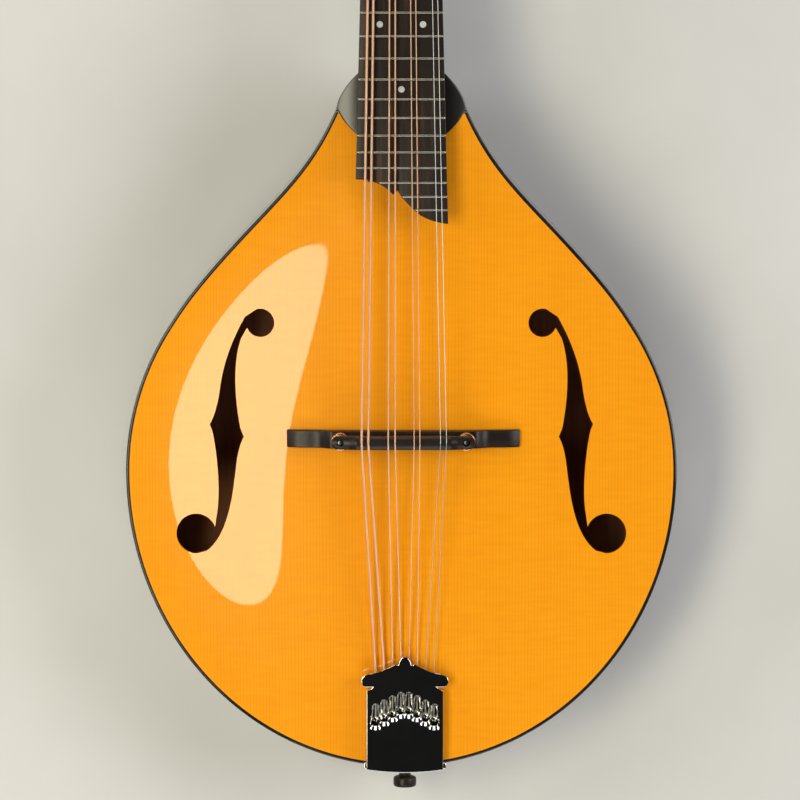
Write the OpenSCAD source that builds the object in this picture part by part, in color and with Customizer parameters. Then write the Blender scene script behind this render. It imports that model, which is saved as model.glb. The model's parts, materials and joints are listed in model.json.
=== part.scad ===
// An eight-string alto mandolin with an oval carved body, two f-shaped sound holes, an adjustable
// bridge and a cast tailpiece. It lies on its back: +Z is up, +Y points to the headstock, +X is the
// side of the thin strings. Every piece is drawn in the body's own frame, where z = 0 is the plane
// on which the soundboard is glued, x = 0 the centre line and y = 0 just above the bridge, and
// at_rest() then lays the whole instrument down on the belly of its back and on its headstock.

/* [Scale and neck] */
// String length from the nut to where an uncompensated saddle would be
scale_len = 403; // [401:0.5:405]
// Distance from y = 0 to the nut, along the fretboard
nut_y = 405.4; // [404:0.1:407]
// Height of the fretboard's face above the soundboard's glue plane, at the bridge
board_z = 32.2; // [31:0.1:33]
// Angle by which the neck leans back from the soundboard
neck_angle = 5.5; // [5:0.1:6]
// Thickness of the fretboard
board_t = 5; // [4.5:0.1:5.5]
// Half the width of the fretboard at the nut
nut_half_w = 16.6; // [16:0.1:17.5]
// Growth of the fretboard's half width for each millimetre towards the bridge
board_taper = 0.0242; // [0.02:0.0002:0.028]
// Number of frets
fret_count = 22; // [20:1:22]
// Depth of the neck's wood under the fretboard at the nut
neck_depth = 14.5; // [13:0.5:16]

/* [Headstock] */
// Angle of the headstock to the fretboard
head_angle = 15; // [14:0.5:16]
// Length of the headstock
head_len = 155; // [152:1:160]
// Thickness of the headstock's wood
head_t = 14; // [13:0.5:15]
// Thickness of the ebony overlay on the headstock's face
overlay_t = 2; // [1.5:0.1:2.5]
// Distance from the centre line to each row of tuner posts
post_x = 23.5; // [23:0.1:24]
// Distance from the nut to the first pair of tuner posts
first_post_y = 38; // [37:0.5:40]
// Distance between the tuner posts along one plate
post_pitch = 23.2; // [23:0.1:23.5]

/* [Body] */
// Half the width of the body
body_half_w = 141.35; // [140:0.05:143]
// Where the body is widest, seen from the bridge
body_mid_y = -20.6; // [-22:0.1:-19]
// Length of the rounded lower bout below the widest place
bout_len = 153; // [151:0.5:155]
// Where the body meets the heel
heel_y = 165; // [164:0.1:166]
// Height of the sides between the two glue planes
rib_h = 40; // [36:1:44]
// Thickness of the sides
rib_t = 2.5; // [2:0.1:3]
// Thickness of the plates at their edge, which is also the height of the binding
edge_t = 4.5; // [4:0.1:5]
// Thickness of the binding
binding_t = 1.7; // [1.4:0.1:2]
// Height of the soundboard's crown above its glue plane
top_arch = 16.5; // [15:0.5:18]
// Height of the back's crown from its glue plane
back_arch = 17; // [15:0.5:19]

/* [Bridge] */
// Sideways place of the bridge
bridge_x = 1; // [0:0.1:1.5]
// Place of the bridge's base along the body
base_y = -2.2; // [-3:0.1:-1]
// Place of the saddle and its posts along the body
saddle_y = -2.8; // [-3:0.1:-2]
// Length of the bridge's base
bridge_len = 119; // [115:1:122]
// Width of the bridge's base
bridge_w = 9; // [8:0.5:10]
// Length of the saddle
saddle_len = 73.2; // [72:0.2:76]
// Distance between the two height posts
bridge_post_gap = 64.2; // [62:0.2:66]
// Height of the string's lowest point over the bridge, above the glue plane
string_z = 36.5; // [36:0.1:37]

/* [Tailpiece and end pin] */
// Sideways place of the tailpiece and the end pin
tail_x = 1.8; // [0:0.1:2]
// Half the width of the tailpiece
tail_half_w = 19.7; // [19:0.1:20.5]
// Lean of the tailpiece's face, which rises towards the bridge
tail_angle = 4; // [3:0.5:5]
// Height of the tailpiece's face at the tail, above the glue plane
tail_z = 11; // [10.8:0.1:12]
// Height of the end pin, measured from the soundboard's glue plane
pin_z = -20; // [-22:1:-18]

/* [Hidden] */

$fn = 48;
far = 400;              // beyond the whole instrument
slip = 0.05;            // gap left between two fitted pieces
body_facets = 9;        // steps of each curve of the body's outline

// ---------------------------------------------------------------- points and curves

function bezier(a, b, c, d, t) =
    pow(1 - t, 3) * a + 3 * pow(1 - t, 2) * t * b + 3 * (1 - t) * t * t * c + pow(t, 3) * d;
function bezier_points(a, b, c, d, n) = [for (i = [0:n]) bezier(a, b, c, d, i / n)];
function arc_points(centre, r, from, to, n) =
    [for (i = [0:n]) let (a = from + (to - from) * i / n) centre + r * [cos(a), sin(a)]];
function direction(a) = [cos(a), sin(a)];
function reversed(list) = [for (i = [len(list) - 1:-1:0]) list[i]];
function mirrored(list) = [for (p = list) [-p.x, p.y]];
// A closed outline from its +X half, which runs from the centre line to the centre line
function both_sides(half) =
    concat(half, mirrored(reversed([for (p = half) if (p.x > 0.01) p])));
// The outline moved inwards by d, for an outline that runs anticlockwise
function inset(list, d) = [for (i = [0:len(list) - 1])
    let (n = len(list), along = list[(i + 1) % n] - list[(i + n - 1) % n])
    list[i] + d * [-along.y, along.x] / norm(along)];

// ---------------------------------------------------------------- body outline and arching

bout_h = 139;           // the upper quarter of the round bout is a little flatter
turn_angle = 32;        // where the round bout hands over to the shoulder curve
turn_p = [body_half_w * cos(turn_angle), body_mid_y + bout_h * sin(turn_angle)];
turn_dir = [-body_half_w * sin(turn_angle), bout_h * cos(turn_angle)]
    / norm([-body_half_w * sin(turn_angle), bout_h * cos(turn_angle)]);
waist_p = [76.3, 106.4];
waist_dir = direction(133.4);
heel_half_w = 33.5;
heel_dir = direction(114.1);

half_outline = concat(
    [for (i = [0:2 * body_facets]) let (a = -90 + 90 * i / (2 * body_facets))
        [body_half_w * cos(a), body_mid_y + bout_len * sin(a)]],
    [for (i = [1:body_facets - 5]) let (a = turn_angle * i / (body_facets - 5))
        [body_half_w * cos(a), body_mid_y + bout_h * sin(a)]],
    [for (i = [1:body_facets]) bezier(turn_p, turn_p + 14 * turn_dir,
        waist_p - 43 * waist_dir, waist_p, i / body_facets)],
    [for (i = [1:body_facets]) bezier(waist_p, waist_p + 29.5 * waist_dir,
        [heel_half_w, heel_y] - 28 * heel_dir, [heel_half_w, heel_y], i / body_facets)],
    [[22, heel_y], [11, heel_y], [0, heel_y]]);
outline = both_sides(half_outline);

arch_mid = [0, body_mid_y];
crown_h = 187;          // the contour lines of the crown are an oval of this height towards the neck
// Distance from the middle of the arch to the outline, by direction
reach = [for (p = half_outline) [atan2(p.y - body_mid_y, p.x), norm(p - arch_mid)]];
function oval_reach(a) = a < 0 ? lookup(a, reach) : 1 / norm([cos(a) / body_half_w, sin(a) / crown_h]);
// Distance in direction a to contour line q, which is 0 in the middle and 1 at the outline
function contour(q, a) = q * (q * q * lookup(a, reach) + (1 - q * q) * oval_reach(a));

swell = 1.45;           // above 1, the middle of the arch is flatter and its steepest slope lies further out
recurve_at = 0.944;     // where the slight hollow that runs round the edge is lowest
recurve_depth = 0.1;
flange_at = 0.955;      // from here outwards the plate is flat and glued to the sides
function arch(q, crown) = let (low = edge_t - recurve_depth)
    q < recurve_at ? low + (crown - low) * (1 + cos(180 * pow(q / recurve_at, swell))) / 2
    : q < flange_at + 0.02
        ? low + recurve_depth * (1 - cos(180 * (q - recurve_at) / (flange_at + 0.02 - recurve_at))) / 2
        : edge_t;
function plate_t(q) = 5 - 2 * min(1, q / recurve_at);
function arch_inside(q, crown) = q >= flange_at ? 0 : max(0, arch(q, crown) - plate_t(q));
// Contour lines on which the carved plates have their points
ring_q = [0, 0.12, 0.25, 0.38, 0.5, 0.61, 0.71, 0.8, 0.88, flange_at - 0.03, flange_at, 1];
function height_at(x, y, rings) = let (a = atan2(y - body_mid_y, abs(x)))
    lookup(norm([x, y - body_mid_y]), [for (ring = rings) [contour(ring[0], a), ring[1]]]);
top_rings = [for (q = ring_q) [q, arch(q, top_arch)]];
top_inside_rings = [for (q = ring_q) [q, arch_inside(q, top_arch)]];
function top_z(x, y) = height_at(x, y, top_rings);
function top_inside_z(x, y) = height_at(x, y, top_inside_rings);

// ---------------------------------------------------------------- frames

function turn_x(p, a) = [p.x, p.y * cos(a) - p.z * sin(a), p.y * sin(a) + p.z * cos(a)];
function board_to_body(p) = turn_x(p, -neck_angle) + [0, 0, board_z];
head_y = nut_y + 5.2;   // the headstock starts behind the nut
function head_to_board(p) = turn_x(p, -head_angle) + [0, head_y, -board_t];
function head_to_body(p) = board_to_body(head_to_board(p));
tail_y = body_mid_y - bout_len + 0.1;
function tail_to_body(p) = turn_x(p, tail_angle) + [tail_x, tail_y, tail_z];

module on_board() translate([0, 0, board_z]) rotate([-neck_angle, 0, 0]) children();
module on_head() on_board() translate([0, head_y, -board_t]) rotate([-head_angle, 0, 0]) children();
module on_tail() translate([tail_x, tail_y, tail_z]) rotate([tail_angle, 0, 0]) children();

// The line that touches the belly of the back and the lower edge of the headstock's end
head_end = head_to_body([0, head_len, -head_t]);
belly = [for (side = [-1, 1], q = ring_q)
    [body_mid_y + side * contour(q, 90 * side), -rib_h - arch(q, back_arch)]];
rest_angle = min([for (p = belly) atan2(p.y - head_end.z, head_end.y - p.x)]);
pin_end = -187.8;
pin_head_r = 6;
rest_lift = -turn_x(head_end, rest_angle).z;
rest_shift = -(turn_x([0, pin_end, pin_z + pin_head_r], rest_angle).y
    + turn_x(head_to_body([0, head_len, overlay_t]), rest_angle).y) / 2;
module at_rest() translate([0, rest_shift, rest_lift]) rotate([rest_angle, 0, 0]) children();

// ---------------------------------------------------------------- shared solids

module on_side(side) mirror([side < 0 ? 1 : 0, 0, 0]) children();
module slab(points, z, h) translate([0, 0, z]) linear_extrude(h) polygon(points);
module box(low, high) translate(low) cube(high - low);
// A round bar between two points
module rod(p, q, r) {
    d = q - p;
    translate(p) rotate([0, atan2(norm([d.x, d.y]), d.z), atan2(d.y, d.x)]) cylinder(h = norm(d), r = r);
}
// A square groove for a string of radius r from p to q, open upwards
module groove(p, q, r) {
    d = q - p;
    translate(p) rotate([0, atan2(norm([d.x, d.y]), d.z) - 90, atan2(d.y, d.x)])
        translate([-r / 2, -r, -r]) cube([norm(d), 2 * r, 6]);
}
// Keeps a carved shape as one mesh
module carved() resize([0, 0, 0]) children();
// A solid skin through rings of equal length, closed at both ends
module loft(rings) {
    n = len(rings[0]);
    last = len(rings) - 1;
    polyhedron(
        points = [for (ring = rings) each ring],
        faces = concat(
            [[for (i = [0:n - 1]) i]],
            [for (k = [0:last - 1], i = [0:n - 1])
                [k * n + (i + 1) % n, k * n + i, (k + 1) * n + i, (k + 1) * n + (i + 1) % n]],
            [[for (i = [n - 1:-1:0]) last * n + i]]),
        convexity = 6);
}
// A wall that follows the body's outline between two insets
module outline_wall(outer, inner, z, h) difference() {
    slab(inset(outline, outer), z, h);
    slab(inset(outline, inner), z - 1, h + 2);
}

// ---------------------------------------------------------------- plates

// A carved plate whose outer face is arched and whose inner face follows it at the plate's thickness
module arched_plate(crown) {
    edge = inset(outline, binding_t + slip);
    n = len(edge);
    rim_q = [for (i = [1:len(ring_q) - 1]) ring_q[i]];
    m = len(rim_q);
    function at(q, p) = let (d = p - arch_mid, a = atan2(d.y, abs(d.x)))
        arch_mid + (q < 1 ? contour(q, a) * d / norm(d) : d);
    outer = [for (q = rim_q) each [for (p = edge) let (s = at(q, p)) [s.x, s.y, arch(q, crown)]]];
    inner = [for (q = rim_q) each [for (p = edge) let (s = at(q, p)) [s.x, s.y, arch_inside(q, crown)]]];
    top = m * n;
    polyhedron(
        points = concat(outer, inner,
            [[0, body_mid_y, crown], [0, body_mid_y, crown - plate_t(0)]]),
        faces = concat(
            [for (i = [0:n - 1]) [2 * top, (i + 1) % n, i]],
            [for (i = [0:n - 1]) [2 * top + 1, top + i, top + (i + 1) % n]],
            [for (k = [0:m - 2], i = [0:n - 1])
                [k * n + i, k * n + (i + 1) % n, (k + 1) * n + (i + 1) % n, (k + 1) * n + i]],
            [for (k = [0:m - 2], i = [0:n - 1])
                [top + k * n + (i + 1) % n, top + k * n + i,
                 top + (k + 1) * n + i, top + (k + 1) * n + (i + 1) % n]],
            [for (i = [0:n - 1]) [(m - 1) * n + i, (m - 1) * n + (i + 1) % n,
                top + (m - 1) * n + (i + 1) % n, top + (m - 1) * n + i]]),
        convexity = 8);
}

upper_eye = [72.2, 56.4];
upper_eye_r = 7.2;
lower_eye = [105.2, -52.3];
lower_eye_r = 10.3;
f_steps = 5;
// One sound hole: two round eyes joined by a slender waist with a pointed nick on each side
f_outline = concat(
    arc_points(upper_eye, upper_eye_r, -21, -286, 16),
    bezier_points([78, 62.8], [89.5, 44], [91.6, 30], [92.5, 25.6], f_steps),
    bezier_points([93.1, 21], [94.3, 14], [95.6, 8.5], [98.2, 4.3], f_steps - 2),
    bezier_points([96.9, 1], [94.6, -9], [92.4, -30], [94.7, -42.4], f_steps),
    arc_points(lower_eye, lower_eye_r, 159, -90, 18),
    bezier_points([100, -61.2], [89, -53], [86.6, -33], [84.8, -18.4], f_steps),
    bezier_points([84.3, -14.5], [83.6, -9.5], [82.4, -5], [80.6, -1.9], f_steps - 2),
    bezier_points([82.4, 2.5], [85.4, 18], [86.4, 36], [82, 48.5], f_steps));
module f_hole(side) on_side(side) slab(f_outline, -5, 30);

// The collar where the heel overlaps the soundboard is a round tongue
collar_y = 180.6;
collar_r = 36;

module soundboard() color("darkorange") at_rest() carved() difference() {
    arched_plate(top_arch);
    f_hole(1);
    f_hole(-1);
    translate([0, collar_y, -1]) cylinder(h = 20, r = collar_r + slip, $fn = 96);
}
module back_plate() color("black") at_rest()
    translate([0, 0, -rib_h]) mirror([0, 0, 1]) arched_plate(back_arch);

// ---------------------------------------------------------------- sides, blocks and linings

heel_face_y = heel_y - 0.8;     // the flat end of the sides, against which the heel is glued
block_w = 30;
module end_pin_bore() translate([tail_x, body_mid_y, pin_z]) rotate([90, 0, 0])
    cylinder(h = far, r = 3.9);
module tail_screw_bores() for (side = [-1, 1])
    translate([tail_x + side * tail_screw_x, tail_y + 15, tail_screw_z]) rotate([90, 0, 0])
        cylinder(h = far, r = 1.25 + slip);
module rib(side) color("black") at_rest() difference() {
    outline_wall(0, rib_t, -rib_h, rib_h);
    box([side > 0 ? -far : 0, -far, -far], [side > 0 ? 0 : far, far, far]);
    box([-heel_half_w + rib_t, heel_y - 9, -far], [heel_half_w - rib_t, far, far]);
    box([-far, heel_face_y, -far], [far, far, far]);
    end_pin_bore();
    tail_screw_bores();
}
module rib_bass() rib(-1);
module rib_treble() rib(1);

dovetail = [[9, 0.5], [-9, 0.5], [-12, -12], [12, -12]];
block_y = 124;
module head_block() color("burlywood") at_rest() difference() {
    intersection() {
        slab(inset(outline, rib_t + slip), -rib_h, rib_h);
        box([-far, block_y, -far], [far, heel_face_y - slip, far]);
    }
    slab([for (p = inset(dovetail, -slip)) [p.x, p.y + heel_face_y]], -rib_h + 2, rib_h);
}
tail_block_y = -150;
module tail_block() color("burlywood") at_rest() difference() {
    intersection() {
        slab(inset(outline, rib_t + slip), -rib_h, rib_h);
        box([-block_w, -far, -far], [block_w, tail_block_y, far]);
    }
    end_pin_bore();
    tail_screw_bores();
}
module linings(z) color("peru") at_rest() difference() {
    outline_wall(rib_t + slip, rib_t + 5.5, z, 7);
    box([-far, block_y - slip, -far], [far, far, far]);
    box([-block_w - slip, -far, -far], [block_w + slip, tail_block_y + slip, far]);
}
module top_linings() linings(-7);
module back_linings() linings(-rib_h);

// Two braces that run the length of the soundboard, fitted to its inner face
bar_x = 37;
bar_w = 6;
bar_y = [-118, 104];
bar_steps = 12;
function bar_top_z(y) = min(top_inside_z(bar_x - bar_w / 2, y), top_inside_z(bar_x + bar_w / 2, y)) - 0.15;
function bar_depth(u) = 3 + 7 * sin(180 * u);
bar_profile = concat(
    [for (i = [0:bar_steps]) let (y = bar_y[0] + (bar_y[1] - bar_y[0]) * i / bar_steps) [y, bar_top_z(y)]],
    [for (i = [bar_steps:-1:0]) let (u = i / bar_steps, y = bar_y[0] + (bar_y[1] - bar_y[0]) * u)
        [y, bar_top_z(y) - bar_depth(u)]]);
module tone_bars() color("wheat") at_rest() for (side = [-1, 1])
    translate([side * bar_x + bar_w / 2, 0, 0]) rotate([90, 0, -90])
        linear_extrude(bar_w) polygon([for (p = bar_profile) [-p.x, p.y]]);

module binding(z) color("black") at_rest() difference() {
    outline_wall(0, binding_t, z, edge_t);
    box([-heel_half_w + 1, heel_y - 8, -far], [heel_half_w - 1, far, far]);
    box([-far, heel_face_y, -far], [far, far, far]);
}
module top_binding() binding(0);
module back_binding() binding(-rib_h - edge_t);

// ---------------------------------------------------------------- neck and fretboard

function board_half_w(y) = nut_half_w + board_taper * (nut_y - y);
function fret_y(n) = nut_y - scale_len * (1 - pow(2, -n / 12));

neck_ring = 20;
heel_start_y = 214;
// Depth of the neck's wood, which grows slowly to the heel and then swells into it
function neck_wood(y) = neck_depth + 4.5 * (head_y - y) / (head_y - heel_start_y)
    + (y < heel_start_y ? 10 * pow((heel_start_y - y) / 50, 2) : 0);
function neck_section(y, lean) = [for (i = [0:neck_ring])
    let (a = 180 * i / neck_ring, w = y > nut_y ? board_half_w(nut_y) : board_half_w(y),
         x = w * sign(cos(a)) * pow(abs(cos(a)), 0.75), z = -neck_wood(y) * pow(sin(a), 0.85))
    [x, y + z * tan(lean), -board_t + z]];
neck_stations = concat([for (y = [170:7:214]) y], [for (y = [230:28:390]) y], [398, 404, head_y - slip]);

cheek_z = 6.5;          // top of the heel's two cheeks, beside the fretboard
heel_levels = [cheek_z, 5.5, 0, -8, -16, -24, -31, -37, -41, -rib_h - edge_t + 0.2];
function heel_at(z) = let (u = (cheek_z - z) / (cheek_z + rib_h + edge_t))
    [heel_half_w - 0.8 - 20 * pow(u, 1.3), 36 - 25 * pow(u, 0.8)];
function heel_section(z) = let (s = z > 6 ? heel_at(z) - [0.8, 1.2] : heel_at(z))
    [for (i = [-8:8]) let (v = 1 - abs(i) / 8)
        [sign(i) * s.x * (1 - pow(v, 1.8)), heel_face_y + v * s.y, z]];

module heel_tongue() {
    difference() {
        translate([0, collar_y, slip]) cylinder(h = cheek_z - slip, r = collar_r - slip, $fn = 96);
        box([-far, heel_face_y + 2, -far], [far, far, far]);
    }
    // Support under the free end of the fretboard, clear of the soundboard
    translate([17, 0, 0]) rotate([90, 0, -90]) linear_extrude(34)
        polygon([for (p = [[168, 0.1], [168, board_foot_z(168)], [129, board_foot_z(129)],
            [133, 9], [145, 8.5], [158, 0.1]]) [-p.x, p.y]]);
}
function board_foot_z(y) = board_to_body([0, y, -board_t]).z - 0.1;
module neck() color("black") at_rest() carved() difference() {
    union() {
        on_board() loft([for (y = neck_stations)
            neck_section(y, y < 395 ? 0 : head_angle * (y - 395) / (head_y - 395))]);
        loft([for (z = heel_levels) heel_section(z)]);
        heel_tongue();
        slab([for (p = dovetail) [p.x, p.y + heel_face_y]], -rib_h + 3, rib_h - 4);
    }
    on_board() box([-3.2, 190, -board_t - 8.5], [3.2, far + 50, 0]);
    on_board() box([-far, -far, -board_t], [far, far, far]);
}

head_side = concat([[17, 0]],
    bezier_points([17.5, 3], [19, 14], [35, 12], [35.5, 30], 8),
    bezier_points([33.2, 118], [32.8, 136], [30, 140], [27, 146], 6),
    bezier_points([24.5, 151], [23, 154.5], [21, head_len], [18.5, head_len], 4),
    bezier_points([12, head_len], [9, 150.5], [4, 149.5], [0, 149.5], 5));
head_outline = both_sides(concat([[0, 0]], head_side));
bushing_r = 4;
function post_place(i) = [i <= 4 ? -post_x : post_x,
    first_post_y + post_pitch * (i <= 4 ? i - 1 : 8 - i)];
module at_posts() for (i = [1:8]) translate([post_place(i).x, post_place(i).y, 0]) children();
pocket = [[-4.8, -1, -9], [4.8, 23, 20]];

module headstock() color("black") at_rest() on_head() difference() {
    slab(head_outline, -head_t, head_t);
    box(pocket[0], pocket[1]);
    at_posts() translate([0, 0, -far / 2]) cylinder(h = far, r = bushing_r + slip);
}
module headstock_overlay() color("#2a2320") at_rest() on_head() difference() {
    slab(head_outline, slip, overlay_t - slip);
    box([-far, -far, -far], [far, 0.8, far]);
    box(pocket[0], pocket[1]);
    at_posts() translate([0, 0, -far / 2]) cylinder(h = far, r = bushing_r + slip);
    cover_screw_places() translate([0, 0, -far / 2]) cylinder(h = far, r = 0.8);
}

rod_z = -board_t - 5.6;     // height of the truss rod under the fretboard's face
rod_r = 2.4;
rod_nut_y = [head_y + 2.5, head_y + 13];
module truss_rod() color("silver") at_rest() on_board()
    rod([0, 196, rod_z], [0, rod_nut_y[1] - 3, rod_z], rod_r);
module truss_rod_nut() color("goldenrod") at_rest() on_board() difference() {
    translate([0, rod_nut_y[0], rod_z]) rotate([-90, 0, 0])
        cylinder(h = rod_nut_y[1] - rod_nut_y[0], r = 4, $fn = 6);
    rod([0, 0, rod_z], [0, far + far, rod_z], rod_r + slip);
}
cover_half = concat([[0, 3], [9.5, 3]],
    bezier_points([9.6, 7], [9, 14], [5.5, 17], [4, 23], 5),
    bezier_points([3.4, 26], [2.8, 29.5], [1.5, 31], [0, 31], 4));
cover_t = 1.6;
module cover_screw_places() for (p = [[-7.2, 5.6], [7.2, 5.6], [0, 27.5]])
    translate([p.x, p.y, 0]) children();
module truss_rod_cover() color("black") at_rest() on_head() difference() {
    slab(both_sides(cover_half), overlay_t + slip, cover_t);
    cover_screw_places() translate([0, 0, -far / 2]) cylinder(h = far, r = 0.8);
}
// A small round-headed screw that points down
module screw(r, length) {
    head_h = 0.8 * r;
    rotate_extrude() polygon(concat([[0, -length], [r, -length + r], [r, 0], [2 * r, 0]],
        [for (a = [0:15:75]) [2 * r * cos(a), head_h * (0.3 + 0.7 * sin(a))]], [[0, head_h]]));
}
module truss_cover_screws() color("silver") at_rest() on_head() cover_screw_places()
    translate([0, 0, overlay_t + cover_t + 2 * slip]) screw(0.75, 3.3);

// The free end of the fretboard is cut in a scooped curve that leaves the highest frets short
board_end = concat(
    [[-board_half_w(131.2), 131.2]],
    bezier_points([-18, 131], [-13, 130], [-7.5, 127.5], [-4.3, 123.4], 4),
    bezier_points([-1.9, 125.6], [0.5, 121], [4, 118], [6.8, 115.4], 4),
    bezier_points([9.5, 113], [13.5, 110.7], [17.5, 109.3], [board_half_w(108.5), 108.5], 4));
short_fret_start = [-11.4, 0.4, 6.9];   // left ends of the three highest frets
function fret_left(n) = n > 19 ? short_fret_start[n - 20] : -board_half_w(fret_y(n));
module fretboard() color("#2b2220") at_rest() on_board() difference() {
    slab(concat([[board_half_w(nut_y), nut_y], [-board_half_w(nut_y), nut_y]], board_end), -board_t, board_t);
    for (n = [1:fret_count])
        box([fret_left(n) - 1, fret_y(n) - 0.3, -2], [far, fret_y(n) + 0.3, far]);
    dot_places() translate([0, 0, -dot_depth - 0.02]) cylinder(h = far, r = dot_r + 0.02, $fn = 32);
    side_dot_places() rotate([0, 90, 0]) cylinder(h = 2.04, r = 0.97, $fn = 24);
}
fret_half_w = 0.72;
fret_h = 0.9;
fret_section = concat([[-0.25, -1.6], [0.25, -1.6], [0.25, slip], [fret_half_w, slip]],
    [for (a = [20:20:160]) [fret_half_w * cos(a), slip + fret_h * sin(a)]],
    [[-fret_half_w, slip], [-0.25, slip]]);
module frets() color("silver") at_rest() on_board() for (n = [1:fret_count])
    let (left = fret_left(n), right = board_half_w(fret_y(n)))
        translate([left, fret_y(n), 0]) rotate([90, 0, 90]) linear_extrude(right - left)
            polygon(fret_section);

dot_r = 1.65;
dot_depth = 1;
dot_frets = [3, 5, 7, 10, 15];
function between_frets(n) = (fret_y(n - 1) + fret_y(n)) / 2;
module dot_places() {
    for (n = dot_frets) translate([0, between_frets(n), 0]) children();
    for (side = [-1, 1]) translate([side * 11, between_frets(12), 0]) children();
}
module position_dots() color("lightgray") at_rest() on_board() dot_places()
    translate([0, 0, -dot_depth]) cylinder(h = dot_depth, r = dot_r, $fn = 32);
module side_dot_places() {
    for (n = dot_frets) side_dot_at(between_frets(n)) children();
    for (shift = [-2.5, 2.5]) side_dot_at(between_frets(12) + shift) children();
}
module side_dot_at(y) translate([-board_half_w(y) - 0.02, y, -2.6]) children();
module side_dots() color("lightgray") at_rest() on_board() side_dot_places()
    translate([0.04, 0, 0]) rotate([0, 90, 0]) cylinder(h = 1.96, r = 0.95, $fn = 24);

// ---------------------------------------------------------------- strings

string_r = [0.66, 0.43, 0.30, 0.18];            // one radius for each pair, thick to thin
string_nut_x = [-14.6, -12.1, -5.5, -3, 3.2, 5.6, 12.4, 14.8];
string_saddle_x = [-21.2, -17.8, -7.7, -4.2, 5.5, 8.4, 18.9, 21.9];
string_tail_x = [-15.05, -10.7, -6.35, -2.1, 2.1, 6.35, 10.7, 15.05];
string_lip_y = [50.9, 52.7, 54.7, 57.2];        // where a string dips under the tailpiece, outer to inner
hook_y = [25.6, 27.2, 28.6, 30.6];
string_tail_z = -3.4;
nut_action = 1.3;
post_waist_r = 2.5;
winding_z = 5.6;
function pair(i) = floor((i - 1) / 2);
function from_edge(i) = i <= 4 ? i - 1 : 8 - i;
function radius(i) = string_r[pair(i)];
function hook_place(i) = [string_tail_x[i - 1], hook_y[from_edge(i)]];
hook_r = 0.8;
loop_wire_r = 0.25;
function string_start(i) =
    tail_to_body([hook_place(i).x, hook_place(i).y + hook_r + 2 * loop_wire_r + 3 * slip, string_tail_z]);
function string_lip(i) = tail_to_body([string_tail_x[i - 1], string_lip_y[from_edge(i)], string_tail_z]);
function string_crest(i) = [bridge_x + string_saddle_x[i - 1], saddle_y, string_z + radius(i)];
function string_at_nut(i) = board_to_body([string_nut_x[i - 1], nut_y + 0.6, nut_action + radius(i)]);
function string_end(i) = head_to_body([
    sign(post_place(i).x) * (post_x - post_waist_r - 3 * radius(i) - 0.2), post_place(i).y - 0.4, winding_z]);
function string_path(i) = [string_start(i), string_lip(i), string_crest(i), string_at_nut(i), string_end(i)];

wire_sides = 12;
// A ring of the string round path[k], square to the bend there
function wire_ring(path, k, r) = let (
        back = path[max(k, 1)] - path[max(k, 1) - 1],
        ahead = path[min(k + 1, len(path) - 1)] - path[min(k + 1, len(path) - 1) - 1],
        along = back / norm(back) + ahead / norm(ahead),
        side = cross(along, [0, 0, 1]) / norm(cross(along, [0, 0, 1])),
        up = cross(side, along) / norm(along))
    [for (j = [0:wire_sides - 1]) let (a = 360 * j / wire_sides) path[k] + r * (cos(a) * side - sin(a) * up)];
module string_wire(i) color("#d8a070") at_rest() {
    path = string_path(i);
    loft([for (k = [0:4]) wire_ring(path, k, radius(i))]);
    on_tail() translate([hook_place(i).x, hook_place(i).y, string_tail_z]) rotate_extrude()
        translate([hook_r + slip + loop_wire_r, 0]) circle(loop_wire_r, $fn = 16);
}
module string_1() string_wire(1);
module string_2() string_wire(2);
module string_3() string_wire(3);
module string_4() string_wire(4);
module string_5() string_wire(5);
module string_6() string_wire(6);
module string_7() string_wire(7);
module string_8() string_wire(8);

nut_h = 2.1;
module nut() color("ivory") at_rest() difference() {
    on_board() box([-nut_half_w, nut_y + slip, -board_t + slip], [nut_half_w, head_y - slip, nut_h]);
    for (i = [1:8]) let (path = string_path(i)) {
        groove(path[3], path[2], radius(i) + slip);
        groove(path[3], path[4], radius(i) + slip);
    }
}

// ---------------------------------------------------------------- bridge

base_top_z = 24;
saddle_z = 28.5;
wheel_t = 2.5;
bridge_half = bridge_len / 2;
bridge_post_r = 1.5;
function base_foot(x) = [x, top_z(bridge_x + x, base_y - bridge_w / 2) + 2 * slip];
base_profile = concat(
    [for (i = [-8:8]) base_foot(i / 8 * bridge_half)],
    [[bridge_half, 15.5]],
    bezier_points([bridge_half - 4, 17.6], [bridge_half - 10, 18.6], [44, 18.8], [42, 20], 3),
    bezier_points([39.5, 22], [38.5, base_top_z], [37.5, base_top_z], [36.5, base_top_z], 3),
    reversed(mirrored(bezier_points([39.5, 22], [38.5, base_top_z], [37.5, base_top_z],
        [36.5, base_top_z], 3))),
    reversed(mirrored(bezier_points([bridge_half - 4, 17.6], [bridge_half - 10, 18.6], [44, 18.8],
        [42, 20], 3))),
    [[-bridge_half, 15.5]]);
module at_bridge_posts() for (side = [-1, 1])
    translate([bridge_x + side * bridge_post_gap / 2, saddle_y, 0]) children();
module bridge_base() color("#241d1b") at_rest() difference() {
    translate([bridge_x, base_y + bridge_w / 2, 0]) rotate([90, 0, 0]) linear_extrude(bridge_w)
        polygon(base_profile);
    at_bridge_posts() translate([0, 0, 17]) cylinder(h = far, r = bridge_post_r + slip);
}
module bridge_posts() color("silver") at_rest() at_bridge_posts()
    translate([0, 0, 17 + slip]) cylinder(h = 16.5, r = bridge_post_r);
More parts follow.
